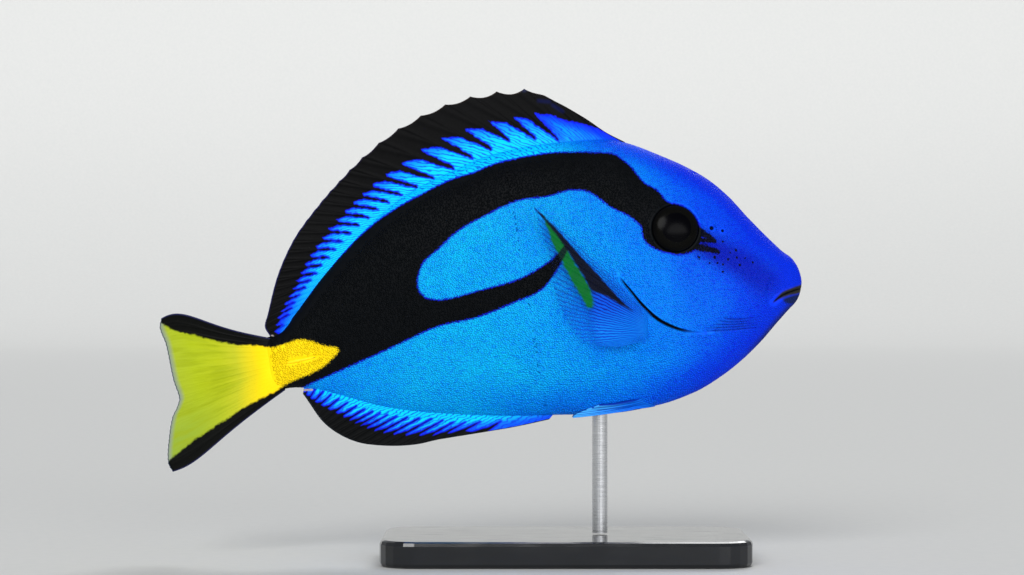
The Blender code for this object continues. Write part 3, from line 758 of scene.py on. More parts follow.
def feed(tree, entry, value):
    """Gives an input a number, a hex code or a link. A node feeds its first socket in use."""
    if isinstance(value, bpy.types.Node):
        value = next(socket for socket in value.outputs if socket.enabled)
    if isinstance(value, bpy.types.NodeSocket):
        tree.links.new(value, entry)
    elif isinstance(value, str) and value.startswith("#"):
        entry.default_value = colour(value)
    else:
        entry.default_value = value


def add(tree, kind, values=None, stops=(), **settings):
    """Adds a node with its settings and the values that feed its inputs; stops are a ramp's."""
    made = tree.nodes.new(kind)
    for name, setting in settings.items():
        setattr(made, name, setting)
    for name, value in (values or {}).items():
        feed(tree, made.inputs[name], value)
    for i, (place, code) in enumerate(stops):
        ramp = made.color_ramp.elements
        stop = ramp[i] if i < 2 else ramp.new(place)
        stop.position = place
        stop.color = colour(code)
    return made


print("ready to add nodes")

# %% [markdown]
# Some groups of nodes come back in many finishes: an even noise in the model's own coordinates
# with grains of a given size, the share that a marking has at a place, soft lines, and colours
# laid over each other like coats of paint. Each group gets a function.

# %% Put patterns together
SMOOTH = "SMOOTHSTEP"


def noise(tree, size, detail=2.0, stretch=(1.0, 1.0, 1.0), turn=0.0):
    """A noise with grains of size mm, drawn out by stretch along turned axes."""
    place = add(tree, "ShaderNodeTexCoord").outputs["Object"]
    drawn = add(tree, "ShaderNodeMapping", {
        "Vector": place, "Rotation": (0.0, turn, 0.0), "Scale": stretch}, vector_type="TEXTURE")
    grain = add(tree, "ShaderNodeTexNoise", {
        "Vector": drawn, "Scale": 1 / (size * MM), "Detail": detail})
    return grain.outputs["Fac"]


def shaken(tree, value, grain, reach):
    """A value that a noise moves up and down, reach from end to end."""
    moved = add(tree, "ShaderNodeMath", {0: grain, 1: 0.5}, operation="SUBTRACT")
    return add(tree, "ShaderNodeMath", {0: moved, 1: reach, 2: value}, operation="MULTIPLY_ADD")


def area(tree, name, low, high, start=0.0, end=1.0, grain=None, reach=0.0):
    """A soft step over a value of the mesh, start at low and end at high, frayed by a noise."""
    value = add(tree, "ShaderNodeAttribute", attribute_name=name).outputs["Fac"]
    if grain:
        value = shaken(tree, value, grain, reach)
    return add(tree, "ShaderNodeMapRange", {0: value, 1: low, 2: high, 3: start, 4: end},
               interpolation_type=SMOOTH)


def lines(tree, number, low, high, wave="COSINE"):
    """Soft lines, one for each whole step of a number: the crests of a wave over low."""
    turns = add(tree, "ShaderNodeMath", {0: number, 1: 2 * math.pi}, operation="MULTIPLY")
    swing = add(tree, "ShaderNodeMath", {0: turns}, operation=wave)
    return add(tree, "ShaderNodeMapRange", {0: swing, 1: low, 2: high}, interpolation_type=SMOOTH)


def layered(tree, ground, *layers):
    """A colour made of coats laid over a ground, each a share from 0 to 1 and a tint."""
    for share, tint in layers:
        ground = add(tree, "ShaderNodeMix", {"Factor": share, 6: ground, 7: tint},
                     data_type="RGBA")
    return ground


print("ready to make noise, areas, lines and coats")

# %% [markdown]
# Every finish is a Principled shader. Its plain numbers start from those of the real material,
# and its colour and its fine relief come from nodes. Wet skin reflects little, as water does.

# %% Start and end a material


def new_material(name, **values):
    """A material with its tree and its Principled shader, whose plain sockets are set here."""
    material = bpy.data.materials.new(name)
    material.use_nodes = True
    shader = material.node_tree.nodes["Principled BSDF"]
    for socket, value in values.items():
        shader.inputs[socket.replace("_", " ").title().replace("Ior", "IOR")].default_value = value
    return material, material.node_tree, shader


def give(material, *pieces):
    """Gives a material to pieces."""
    for piece in pieces:
        piece.data.materials.append(material)


def finish(tree, shader, tint, height, depth, strength=0.5):
    """Feeds a shader its colour and a relief of depth mm."""
    bump = add(tree, "ShaderNodeBump", {
        "Height": height, "Distance": depth * MM, "Strength": strength})
    feed(tree, shader.inputs["Base Color"], tint)
    feed(tree, shader.inputs["Normal"], bump)


WET_SKIN = {"ior": 1.36, "specular_ior_level": 0.1}
print("wet skin's index of refraction:", WET_SKIN["ior"])

# %% [markdown]
# Tang skin is a satin, faintly slimy surface over strong pigment. Skin and scales share their
# colours, which come from the values stored on the mesh. Noise with grains a little larger than
# a scale frays the edges of the black by a third of a millimetre, as in life, and a thin seam of
# royal blue follows them. Fine dark dashes run lengthwise through the blue.

# %% Mix the colours of the body
SCALE_PITCH = 0.37
BLUES = ((0.0, "#0430E6"), (0.27, "#024DF0"), (0.5, "#0370F6"), (0.68, "#0389FA"),
         (0.82, "#06A2F8"), (0.91, "#08B4F8"), (1.0, "#02C8FB"))
STREAK_TURN = math.radians(13)
STREAK_STRENGTH = 0.78


def gold(tree, grain):
    """The deep yellow of the tail and its spines, mottled by a noise."""
    return layered(tree, "#F2CC04", (grain, "#FFE012"))


def streaked_blue(tree, blue_at, share=1.0):
    """A blue from the ramp, with fine dark streaks as strong as share."""
    blue = add(tree, "ShaderNodeValToRGB", {"Fac": blue_at}, stops=BLUES)
    number = add(tree, "ShaderNodeAttribute", attribute_name="streak").outputs["Fac"]
    drawn = noise(tree, 1.0, 2.0, (3.5, 1.0, 1.0), STREAK_TURN)
    streaks = lines(tree, shaken(tree, number, drawn, 2.2), 0.1, 0.95, "SINE")
    shown = add(tree, "ShaderNodeMath", {0: streaks, 1: share}, operation="MULTIPLY")
    dark = add(tree, "ShaderNodeMath", {0: shown, 1: STREAK_STRENGTH}, operation="MULTIPLY")
    return layered(tree, blue, (dark, "#0638C8"))


def body_colour(tree):
    """The body's blue, with its markings and painted shades laid over it one after another."""
    grain = noise(tree, 1.5 * SCALE_PITCH)
    mark = {name: add(tree, "ShaderNodeAttribute", attribute_name=name).outputs["Fac"]
            for name in ("blue", "strip", "smudge", "fold_shade", "chin", "slit")}
    dashes = add(tree, "ShaderNodeMapRange", {
        0: noise(tree, 0.42, 1.0, (2.2, 1.0, 1.0), -PITCH), 1: 0.5, 2: 0.36, 3: 0.0, 4: -0.13,
    }, interpolation_type=SMOOTH)
    drift = shaken(tree, mark["blue"], noise(tree, 7.0), 0.2)
    dashed = add(tree, "ShaderNodeMath", {0: drift, 1: dashes}, operation="ADD")
    # Painted shade in the fine folds under the jaw.
    fold_shade = add(tree, "ShaderNodeMath", {0: mark["fold_shade"], 1: 0.85}, operation="MULTIPLY")
    return layered(
        tree, streaked_blue(tree, dashed, mark["strip"]),
        (mark["smudge"], "#0412B0"),
        (fold_shade, "#06238A"),
        (area(tree, "black", -0.55, -0.1, grain=grain, reach=0.7), "#0A1CC8"),
        # painted shade under the chin, with the lower lip's own navy
        (mark["chin"], "#14245C"),
        (area(tree, "freckle", 0.3, 0.75, grain=grain, reach=0.9), "#02041C"),
        (area(tree, "lips", -0.25, 0.4), layered(tree, "#101218", (noise(tree, 0.7), "#35342C"))),
        (area(tree, "black", -0.12, 0.12, grain=grain, reach=0.7),
         layered(tree, "#020406", (noise(tree, 2.0), "#080B0F"))),
        (area(tree, "yellow", -0.3, 0.3, grain=grain, reach=0.9), gold(tree, noise(tree, 5.0))),
        # painted shade inside the gill slit, the nostrils and the mouth
        (mark["slit"], "#03050E"),
    )


skin_material, tree, shader = new_material("satin_fish_skin", roughness=0.5, **WET_SKIN)
# Where scales grow, the skin showing between them is painted in shade; on the yellow hardly at all.
scaled = add(tree, "ShaderNodeAttribute", attribute_name="scaled").outputs["Fac"]
gap_shade = area(tree, "yellow", 0.0, 0.5, -0.25, -0.02)
shade = add(tree, "ShaderNodeMath", {0: scaled, 1: gap_shade, 2: 1.0}, operation="MULTIPLY_ADD")
between = add(tree, "ShaderNodeHueSaturation", {"Value": shade, "Color": body_colour(tree)})
finish(tree, shader, between, noise(tree, 0.4, 3.0), 0.05)
give(skin_material, tang_skin)
print("skin material:", skin_material.name)

# %% [markdown]
# The scales take the same colours. Each gets a painted shade toward its rim, where it dips under
# its neighbours, and a tone of its own sets it off from them, so the coat reads as fine shagreen.

# %% Mix the finish of the scales
scale_material, tree, shader = new_material("fine_tang_scales", roughness=0.46, **WET_SKIN)
petal = add(tree, "ShaderNodeAttribute", attribute_name="petal").outputs["Vector"]
flat_petal = add(tree, "ShaderNodeVectorMath", {0: petal, 1: (1.0, 1.0, 0.0)}, operation="MULTIPLY")
from_root = add(tree, "ShaderNodeVectorMath", {0: flat_petal}, operation="LENGTH")
# Painted shade: each scale darker toward its rim, where it dips under its neighbours.
rim_shade = add(tree, "ShaderNodeMapRange", {0: from_root, 1: 0.26, 2: 0.5, 3: 0.0, 4: -0.22},
                interpolation_type=SMOOTH)
own_shade = area(tree, "tone", 0.0, 1.0, -0.04, 0.12)
both_shades = add(tree, "ShaderNodeMath", {0: own_shade, 1: rim_shade}, operation="ADD")
lively = area(tree, "yellow", 0.0, 0.5, 1.0, 0.12)
shade = add(tree, "ShaderNodeMath", {0: both_shades, 1: lively, 2: 1.0}, operation="MULTIPLY_ADD")
toned = add(tree, "ShaderNodeHueSaturation", {"Value": shade, "Color": body_colour(tree)})
finish(tree, shader, toned, noise(tree, 0.15, 2.0), 0.01)
feed(tree, shader.inputs["Roughness"], area(tree, "tone", 0.0, 1.0, 0.42, 0.56))
print("scale material:", scale_material.name)

# %% [markdown]
# A tang's scales are tiny and close set, not half a millimetre apart on this young fish, which is
# why its skin looks like fine shagreen. Geometry Nodes strew them: points with a least spacing
# over the skin, a low six-sided scale on each, turned to lie backward and tilted so that its
# rear edge stands proud. Each scale takes its markings from the skin under it, and none grows
# where the skin is bare. All its points share one small patch of the map, the scale's own colour.

# %% Plan the coat of scales
SCALES_PER_SQUARE_METRE = 1.8e7
SCALE_PATCH = 0.003
COAT_SEED = 7
TONE_SEED = 11


def coat_tree(material):
    """The tree that grows scales on a skin, with named inputs for their sizes."""
    tree = bpy.data.node_groups.new("scale_coat", "GeometryNodeTree")
    face = tree.interface
    face.new_socket("Geometry", in_out="INPUT", socket_type="NodeSocketGeometry")
    for name, size in (("Spacing", SCALE_PITCH), ("Length", 0.68), ("Width", 0.54),
                       ("Thickness", 0.06), ("Tilt", math.radians(6)), ("Side", 1.0), ("End", 1.0)):
        socket = face.new_socket(name, in_out="INPUT", socket_type="NodeSocketFloat")
        socket.default_value = size
    seed = face.new_socket("Seed", in_out="INPUT", socket_type="NodeSocketInt")
    seed.default_value = COAT_SEED
    face.new_socket("Geometry", in_out="OUTPUT", socket_type="NodeSocketGeometry")
    given = tree.nodes.new("NodeGroupInput").outputs
    in_metres = {name: add(tree, "ShaderNodeMath", {0: given[name], 1: MM}, operation="MULTIPLY")
                 for name in ("Spacing", "Length", "Width", "Thickness")}
    named = {}
    for kind, names in (("FLOAT", ("scaled", "flank_side", "body_end", "fineness")),
                        ("FLOAT_VECTOR", ("lie", "unwrap", "petal"))):
        for name in names:
            node = add(tree, "GeometryNodeInputNamedAttribute", {"Name": name}, data_type=kind)
            named[name] = node.outputs[0]
    wanted = [add(tree, "ShaderNodeMath", {0: named[name], 1: given[half]}, operation="MULTIPLY")
              for name, half in (("flank_side", "Side"), ("body_end", "End"))]
    in_quarter = add(tree, "ShaderNodeMath", dict(enumerate(wanted)), operation="MINIMUM")
    grows = add(tree, "FunctionNodeCompare", {0: in_quarter, 1: 0.0}, operation="GREATER_THAN")
    strewn = add(tree, "GeometryNodeDistributePointsOnFaces", {
        "Mesh": given["Geometry"], "Selection": grows.outputs[0],
        "Distance Min": in_metres["Spacing"], "Density Max": SCALES_PER_SQUARE_METRE,
        "Density Factor": named["scaled"], "Seed": given["Seed"],
    }, distribute_method="POISSON")
    disc = add(tree, "GeometryNodeMeshCone", {"Vertices": 6, "Radius Bottom": 0.5, "Depth": 0.5},
               fill_type="NGON")
    shape = add(tree, "ShaderNodeCombineXYZ", {
        "X": in_metres["Length"], "Y": in_metres["Width"], "Z": in_metres["Thickness"]})
    here = add(tree, "GeometryNodeInputPosition")
    kept = add(tree, "GeometryNodeStoreNamedAttribute", {
        "Geometry": disc.outputs["Mesh"], "Name": "petal", "Value": here.outputs[0],
    }, data_type="FLOAT_VECTOR", domain="POINT")
    one = add(tree, "GeometryNodeTransform", {
        "Geometry": kept.outputs[0], "Scale": shape.outputs[0]})
    upright = add(tree, "FunctionNodeAlignRotationToVector", {"Vector": strewn.outputs["Normal"]},
                  axis="Z")
    lying = add(tree, "FunctionNodeAlignRotationToVector", {
        "Rotation": upright.outputs[0], "Vector": named["lie"]}, axis="X", pivot_axis="Z")
    back_tilt = add(tree, "ShaderNodeMath", {0: given["Tilt"], 1: -1.0}, operation="MULTIPLY")
    tilt = add(tree, "ShaderNodeCombineXYZ", {"Y": back_tilt})
    to_turn = add(tree, "FunctionNodeEulerToRotation", {0: tilt.outputs[0]})
    tilted = add(tree, "FunctionNodeRotateRotation", {0: lying.outputs[0], 1: to_turn.outputs[0]},
                 rotation_space="LOCAL")
    size = add(tree, "FunctionNodeRandomValue", {2: 0.86, 3: 1.14, "Seed": given["Seed"]})
    finer = add(tree, "ShaderNodeMath", {0: size.outputs[1], 1: named["fineness"]},
                operation="MULTIPLY")
    planted = add(tree, "GeometryNodeInstanceOnPoints", {
        "Points": strewn.outputs["Points"], "Instance": one.outputs[0],
        "Rotation": tilted.outputs[0], "Scale": finer})
    shade = add(tree, "FunctionNodeRandomValue", {2: 0.0, 3: 1.0, "Seed": TONE_SEED})
    toned = add(tree, "GeometryNodeStoreNamedAttribute", {
        "Geometry": planted.outputs[0], "Name": "tone", "Value": shade.outputs[1],
    }, data_type="FLOAT", domain="INSTANCE")
    real = add(tree, "GeometryNodeRealizeInstances", {"Geometry": toned.outputs[0]})
    patch = add(tree, "ShaderNodeVectorMath", {
        0: named["petal"], 1: (SCALE_PATCH, SCALE_PATCH, 0.0), 2: named["unwrap"],
    }, operation="MULTIPLY_ADD")
    mapped = add(tree, "GeometryNodeStoreNamedAttribute", {
        "Geometry": real.outputs[0], "Name": "OFBake", "Value": patch.outputs[0],
    }, data_type="FLOAT2", domain="CORNER")
    smooth = add(tree, "GeometryNodeSetShadeSmooth", {"Geometry": mapped.outputs[0]})
    done = add(tree, "GeometryNodeSetMaterial", {
        "Geometry": smooth.outputs[0], "Material": material})
    leave = tree.nodes.new("NodeGroupOutput")
    tree.links.new(done.outputs[0], leave.inputs["Geometry"])
    return tree


coat = coat_tree(scale_material)
print("nodes in the coat's tree:", len(coat.nodes))

# %% [markdown]
# The tree runs on a copy of the skin that also knows which way is tailward, which side and which
# half of the fish each point is on, and how fine its scales are: finer on the head. The coat is
# grown in four parts, each turned into a plain mesh of a size that is easy to handle.

# %% Grow the scales
COAT_HALVES = 62.0
SIDES = (("left", 1.0), ("right", -1.0))


def grown(name, ground, tree, **inputs):
    """The plain mesh that a tree grows on a ground mesh, as an object of its own."""
    host = linked(name + "_host", ground)
    step = host.modifiers.new("grow", "NODES")
    step.node_group = tree
    for item in tree.interface.items_tree:
        if item.item_type == "SOCKET" and item.name in inputs:
            step[item.identifier] = inputs[item.name]
    graph = bpy.context.evaluated_depsgraph_get()
    mesh = bpy.data.meshes.new_from_object(host.evaluated_get(graph))
    mesh.name = name
    bpy.data.objects.remove(host)
    return linked(name, mesh)


ground = skin.copy()
ground.uv_layers["OFBake"].name = "unwrap"
tailward = to_model(skin_u + 1.0, skin_v, skin_y) - to_model(skin_u, skin_v, skin_y)
lie = ground.attributes.new("lie", "FLOAT_VECTOR", "POINT")
lie.data.foreach_set("vector", (tailward / MM).astype(np.float32).ravel())
store(ground, {
    "flank_side": np.where(skin_y >= 0, 0.99, -1.01),
    "body_end": np.where(skin_u >= COAT_HALVES, 0.99, -1.01),
    "fineness": smooth_curve((0, 0.78), (25, 0.88), (45, 1.0), (124, 0.95))(skin_u),
})
coats = []
for side_label, side in SIDES:
    for end_label, end in (("front", -1.0), ("rear", 1.0)):
        label = f"scales_{side_label}_{end_label}"
        coats.append(grown(label, ground, coat, Side=side, End=end, Seed=COAT_SEED))
        print(label, "faces:", len(coats[-1].data.polygons))

# %% [markdown]
# A tang's eye is a flat dome, almost black, with a faint brown iris round a wide pupil. It is
# turned from rings in one go: shallow outside, deeper in the head. The distance from its axis is
# stored on its points, so that the iris follows the eye's own shape.

# %% Shape the eyes
EYE_DOME = 1.9
EYE_DEPTH = 4.2
EYE_SUNK = 0.2
EYE_SIDES = 96
EYE_STEPS = 48


def capped_rings(columns, rows):
    """Faces of a round shape: rows of points in a closed ring, and a pole at either end."""
    faces = grid_quads(columns, rows, ring=True).tolist()
    for row, pole in ((0, columns * rows), (rows - 1, columns * rows + 1)):
        for i in range(columns):
            faces.append((i * rows + row, (i + 1) % columns * rows + row, pole))
    return faces


def facing(u, v, side):
    """The direction in which the flank faces at a place, in the straight fish's u, v and y."""
    along = float(flank(u + 0.5, v) - flank(u - 0.5, v))
    upward = float(flank(u, v + 0.5) - flank(u, v - 0.5))
    return Vector((-along, -upward, side)).normalized()


def both(make, name):
    """The left and the right one of a pair."""
    return [make(f"{name}_{label}", side) for label, side in SIDES]


def eye(name, side):
    """One eyeball, with the shares of its radius stored for the iris."""
    look = facing(*EYE, side)
    across = look.cross(Vector((0, 1, 0))).normalized()
    up = look.cross(across)
    centre = Vector((*EYE, side * float(flank(*EYE)))) - look * EYE_SUNK
    rise = np.linspace(-np.pi / 2, np.pi / 2, EYE_STEPS + 1)[1:-1]
    spin = 2 * np.pi * np.arange(EYE_SIDES) / EYE_SIDES
    around, along = np.meshgrid(spin, rise, indexing="ij")
    radius = EYE_RADIUS * np.cos(along)
    depth = np.sin(along) * np.where(along > 0, EYE_DOME, EYE_DEPTH)
    places = (
        np.array(centre)
        + (radius * np.cos(around))[..., None] * np.array(across)
        + (radius * np.sin(around))[..., None] * np.array(up)
        + depth[..., None] * np.array(look)
    ).reshape(-1, 3)
    poles = np.array([np.array(centre) + np.array(look) * d for d in (-EYE_DEPTH, EYE_DOME)])
    places = to_model(*np.vstack((places, poles)).T)
    shares = np.concatenate((np.cos(along).ravel(), (0.0, 0.0)))
    return make_piece(name, places, capped_rings(EYE_SIDES, len(rise)), {"iris": shares})


cornea, tree, shader = new_material(
    "wet_dark_eye", roughness=0.2, ior=1.34, specular_ior_level=0.08)
fibres = noise(tree, 0.6, 3.0)
iris = layered(tree, "#030404", (fibres, "#0A0907"), (area(tree, "iris", 0.8, 0.98), "#040405"))
dark_eye = layered(tree, "#010103", (area(tree, "iris", 0.6, 0.66), iris))
finish(tree, shader, dark_eye, fibres, 0.004, 0.3)
eyes = both(eye, "eyeball")
give(cornea, *eyes)
print("eye, mm across:", 2 * EYE_RADIUS)

# %% [markdown]
# Every fin is a thin web between rays. One function makes them all: it takes the middle sheet,
# ray by ray, and a thickness, and gives a closed shell. Soft rays are split in two toward their
# tips, as in life. A fin starts inside the body, so it grows out of the skin without a gap.

# %% Build fins from rays
FIN_SUNK = 0.9


def fin_shell(name, rays, per_ray, rows, place, thickness, values):
    """A closed fin. place and thickness take ray numbers and shares of the rays' length."""
    k, s = np.meshgrid(np.linspace(0, rays - 1, (rays - 1) * per_ray + 1),
                       np.linspace(0, 1, rows + 1), indexing="ij")
    u, v, y = place(k, s)
    middle = to_model(u, v, y)
    normal = np.cross(np.gradient(middle, axis=0), np.gradient(middle, axis=1))
    normal /= np.maximum(np.linalg.norm(normal, axis=2), 1e-12)[..., None]
    half = (thickness(k, s) / 2 * MM)[..., None]
    columns, lines = k.shape
    count = columns * lines
    index = np.arange(count).reshape(columns, lines)
    front = grid_quads(columns, lines)
    loop = np.concatenate((index[:, 0], index[-1, 1:], index[-2::-1, -1], index[0, -2:0:-1]))
    after = np.roll(loop, -1)
    rim = np.stack((after, loop, loop + count, after + count), 1)
    faces = np.concatenate((front, front[:, ::-1] + count, rim))
    points = np.concatenate(((middle + normal * half).reshape(-1, 3),
                             (middle - normal * half).reshape(-1, 3)))
    numbers = {label: np.tile(made.ravel(), 2) for label, made in values(k, s, u, v).items()}
    return make_piece(name, points, faces, numbers)


def rayed(web_at_root, web, ray_at_root, ray_at_tip, width=0.13, splits_at=0.45, split=0.17):
    """The thickness of a fin whose rays stand over the web and split toward their tips."""
    def thickness(k, s):
        off_ray = np.abs(k - np.round(k))
        apart = split * ease(splits_at, 1.0, s)
        ridge = bell(apart, width, off_ray)
        sheet = toward(web, web_at_root, ease(0.4, 0.0, s))
        ray = np.maximum(toward(ray_at_root, ray_at_tip, s), sheet)
        return toward(sheet, ray, ridge)
    return thickness


test_ray = rayed(1.2, 0.38, 1.05, 0.6)(np.array((0.0, 0.5)), np.array((0.4, 0.4)))
print("a fin on its ray and on its web, mm:", test_ray.round(2))

# %% [markdown]
# The back fin has nine spines and then twenty-two soft rays, all leaning back. Its web is cut in
# a little between the spine tips. Blue teeth climb into its black from the body, one between
# each two rays, and a black slit runs down between them. The slits are wide wedges at the spines
# and thin lines farther back. One zigzag outline holds them all.

# %% Make the back fin
FIRST_SLIT = 4
dorsal_scallop = smooth_curve((2.4, 0.0), (3, 1.1), (5, 0.8), (9, 0.5), (14, 0.15), (30, 0.0))
slit_end = smooth_curve(
    (4, 0.17), (5, 0.22), (6, 0.26), (7, 0.21), (8, 0.17), (9, 0.13), (10, 0.12), (12, 0.17),
    (14, 0.22), (18, 0.28), (22, 0.33), (24, 0.39), (26, 0.46), (29, 0.5),
)
tooth_end = smooth_curve((4, 0.61), (22, 0.62), (24, 0.65), (26, 0.7), (29, 0.73))
slit_opening = smooth_curve((4, 0.36), (9, 0.34), (12, 0.18), (29, 0.14))
FLECKS = (((52.6, 50.7), (50.3, 50.1)), ((49.6, 49.2), (47.6, 47.4)))


def back_teeth():
    """The outline of the back fin's blue in the side view: the front slope, then the teeth."""
    line = [(33.0, 38.6), (36.0, 39.6), (38.3, 40.8), (40.0, 42.1), (43.3, 43.9), (46.8, 45.2),
            (50.1, 47.0)]
    for slit in range(FIRST_SLIT, DORSAL_RAYS - 1):
        high, low, wide = tooth_end(slit), slit_end(slit), slit_opening(slit)
        line += [dorsal_spot(slit + beside, s) for beside, s in (
            (-0.42, high), (-wide, high - 0.05), (-0.16, low + 0.05), (-0.03, low),
            (0.1, high - 0.08))]
    line += [dorsal_spot(29.4, 0.74), dorsal_spot(29.8, 0.4), (121.5, 6.0)]
    return np.array(line + [(110.0, 10.0), (60.0, 30.0), (34.0, 33.0)], float)


BACK_TEETH = back_teeth()


def dorsal_place(k, s):
    """A place on the back fin's middle sheet."""
    u, v = dorsal_spot(k, s)
    dip = dorsal_scallop(k) * np.sin(np.pi * (k - np.floor(k))) ** 0.8
    return u, v - dip * s, 0.5 * s * np.sin(0.6 * k)


def dorsal_values(k, s, u, v):
    """The teeth, the streaks and the rim of the back fin."""
    length = np.hypot(dorsal_tip_u(k) - dorsal_root(k), dorsal_tip_v(k) - back(dorsal_root(k)))
    flecks = [from_line(u, v, np.array(line))[0] for line in FLECKS]
    tooth = inside(u, v, BACK_TEETH)
    slope = ease(2.4, 0.2, tooth) * ease(4.4, 3.2, k)
    return {
        "tooth": tooth,
        "blue": dorsal_blue(k) - 0.45 * ease(0.28, 0.62, s) * ease(2.0, 4.5, k) - 0.5 * slope,
        "streak": streak(k, s),
        "fleck": ease(0.75, 0.1, np.minimum(*flecks)),
        "pale": ease(0.55, 0.2, from_spot(u, v, (121.9, 7.0))),
        "tip": ease(1.1, 0.3, from_spot(u, v, dorsal_spot(3.0, 1.0))),
        "rim": (1 - s) * length,
        "rear": ease(6.0, 16.0, k),
    }


dorsal = fin_shell(
    "back_fin", DORSAL_RAYS, 20, 56, dorsal_place, rayed(1.2, 0.38, 1.05, 0.6), dorsal_values)
print("back fin faces:", len(dorsal.data.polygons), "points on its teeth:", len(BACK_TEETH))

# %% [markdown]
# The anal fin has three spines and nineteen soft rays, leaning well back. Its front is blue to
# the rim. Behind that, blue lobes end in a black margin, and thin dark slits part them.

# %% Make the anal fin
ANAL_RAYS = 22
ANAL_SLITS = 20
anal_root = smooth_curve((0, 59), (3, 69), (7, 82.8), (11, 94.5), (15, 104), (21, 116))
anal_tip_u = smooth_curve(
    (0, 62), (1, 67), (3, 81), (5, 92.5), (8, 103.6), (11, 109.6), (15, 113.7), (21, 117),
)
anal_tip_v = smooth_curve(
    (0, -22.0), (2, -22.5), (4, -22.5), (5, -22.8), (8, -21.2), (11, -18.2), (15, -13.9),
    (18, -10.4), (21, -7.2),
)
anal_slit = smooth_curve((0, 2.5), (1, 3.65), (3, 5.3), (8, 9.65), (12, 12.85), (16, 17.2),
                         (19, 20.4))
anal_slit_end = smooth_curve((0, 0.55), (1, 0.47), (3, 0.4), (5, 0.32), (9, 0.35), (16, 0.33),
                             (19, 0.4))
lobe_end = smooth_curve((0, 0.88), (1, 0.81), (3, 0.75), (8, 0.71), (13, 0.67), (15, 0.72),
                        (17, 0.82), (19, 0.86))


def anal_spot(k, s):
    """A place of the anal fin from its ray number and its share of the ray's length."""
    foot = belly(anal_root(k)) + FIN_ROOT_DEPTH
    return toward(anal_root(k), anal_tip_u(k), s), toward(foot, anal_tip_v(k), s)


def anal_lobes():
    """The outline of the anal fin's blue in the side view."""
    line = [(56.0, -16.0), (56.0, -25.0), (66.0, -23.6), (73.0, -23.0), (76.5, -22.4)]
    for slit in range(ANAL_SLITS):
        k, low, high = anal_slit(slit), anal_slit_end(slit), lobe_end(slit)
        line += [anal_spot(k + beside, s) for beside, s in (
            (-0.14, high - 0.02), (0.0, low), (0.14, high - 0.1), (0.55, high + 0.01))]
    return np.array(line + [(119.5, -6.0), (117.0, -3.0), (100.0, -8.0), (70.0, -14.0)], float)


ANAL_LOBES = anal_lobes()


def anal_place(k, s):
    """A place on the anal fin's middle sheet."""
    u, v = anal_spot(k, s)
    return u, v, -0.4 * s * np.sin(0.5 * k)


def anal_values(k, s, u, v):
    """The lobes, the streaks and the rim of the anal fin."""
    length = np.hypot(anal_tip_u(k) - anal_root(k), anal_tip_v(k) - belly(anal_root(k)))
    return {
        "tooth": inside(u, v, ANAL_LOBES),
        "blue": 1.05 - 0.2 * ease(4, 0, k) - 0.62 * ease(0.3, 0.85, s),
        "streak": 2.2 * k - 1.5 * s,
        "pale": ease(0.34, 0.12, from_line(u, v, np.array(((117.0, -6.3), (114.8, -6.6))))[0]),
        "rim": (1 - s) * length,
        "rear": np.full(np.shape(k), 0.5),
    }


anal = fin_shell(
    "anal_fin_web", ANAL_RAYS, 20, 44, anal_place, rayed(1.1, 0.36, 0.95, 0.55), anal_values)
print("anal fin faces:", len(anal.data.polygons), "points on its lobes:", len(ANAL_LOBES))

# %% [markdown]
# The tail fin fans from the tail's base to a shallow notch. It is yellow with a black band along
# each edge, and its yellow carries on from the wedge on the body, so it reads the same outline.
# Its root swells to the body's own width there, so that no step shows where the skin ends.

# %% Make the tail fin
CAUDAL_RAYS = 18
CAUDAL_ROOT = 121.0
caudal_tip_u = smooth_curve(
    (0, 146.8), (1, 147.5), (3, 146.7), (7, 146.2), (9, 145.6), (10, 146.5), (11, 147.9),
    (13, 149.3), (16, 150.5), (17, 149.8),
)
caudal_tip_v = smooth_curve((0, 15.2), (17, -20.2))
caudal_bow = smooth_curve((0, 2.0), (2, 1.2), (6, 0), (13, 0), (17, -1.2))


def caudal_root_v(k):
    """The height at which a ray of the tail fin starts."""
    return toward(6.2, -5.7, k / (CAUDAL_RAYS - 1))


def caudal_place(k, s):
    """A place on the tail fin's middle sheet."""
    fringe = 0.1 * np.abs(np.sin(np.pi * k * 2)) * ease(0.9, 1.0, s)
    u = toward(CAUDAL_ROOT, caudal_tip_u(k) - fringe, s)
    v = toward(caudal_root_v(k), caudal_tip_v(k), s)
    return u, v + caudal_bow(k) * np.sin(np.pi * s**3), 0.5 * s * np.sin(0.7 * k)


def caudal_thickness(k, s):
    """The tail fin's thickness: rays and web, and the swelling that meets the body."""
    across = 2 * k / (CAUDAL_RAYS - 1) - 1
    swelling = 2.1 * section(0.94 * across) * ease(0.34, 0.1, s)
    return rayed(0.6, 0.34, 0.62, 0.42)(k, s) + swelling


def caudal_values(k, s, u, v):
    """The yellow, the ray number and the rim of the tail fin."""
    length = np.hypot(caudal_tip_u(k) - CAUDAL_ROOT, caudal_tip_v(k) - caudal_root_v(k))
    return {
        "yellow": inside(u, v, YELLOW_WEDGE),
        "rim": (1 - s) * length,
        "edge": np.minimum(k, CAUDAL_RAYS - 1 - k) * (0.7 + 1.4 * s),
        "height": s,
        "ray": k,
    }


caudal = fin_shell(
    "tail_fin_web", CAUDAL_RAYS, 22, 48, caudal_place, caudal_thickness, caudal_values)
print("tail fin faces:", len(caudal.data.polygons))

# %% [markdown]
# The breast fins stand a little off the flank. Their web is almost clear, so the flank shows
# through, and only the green stripe and the black wedge along the front edge are dense. At the
# root sits a fleshy fan of fine ridges.

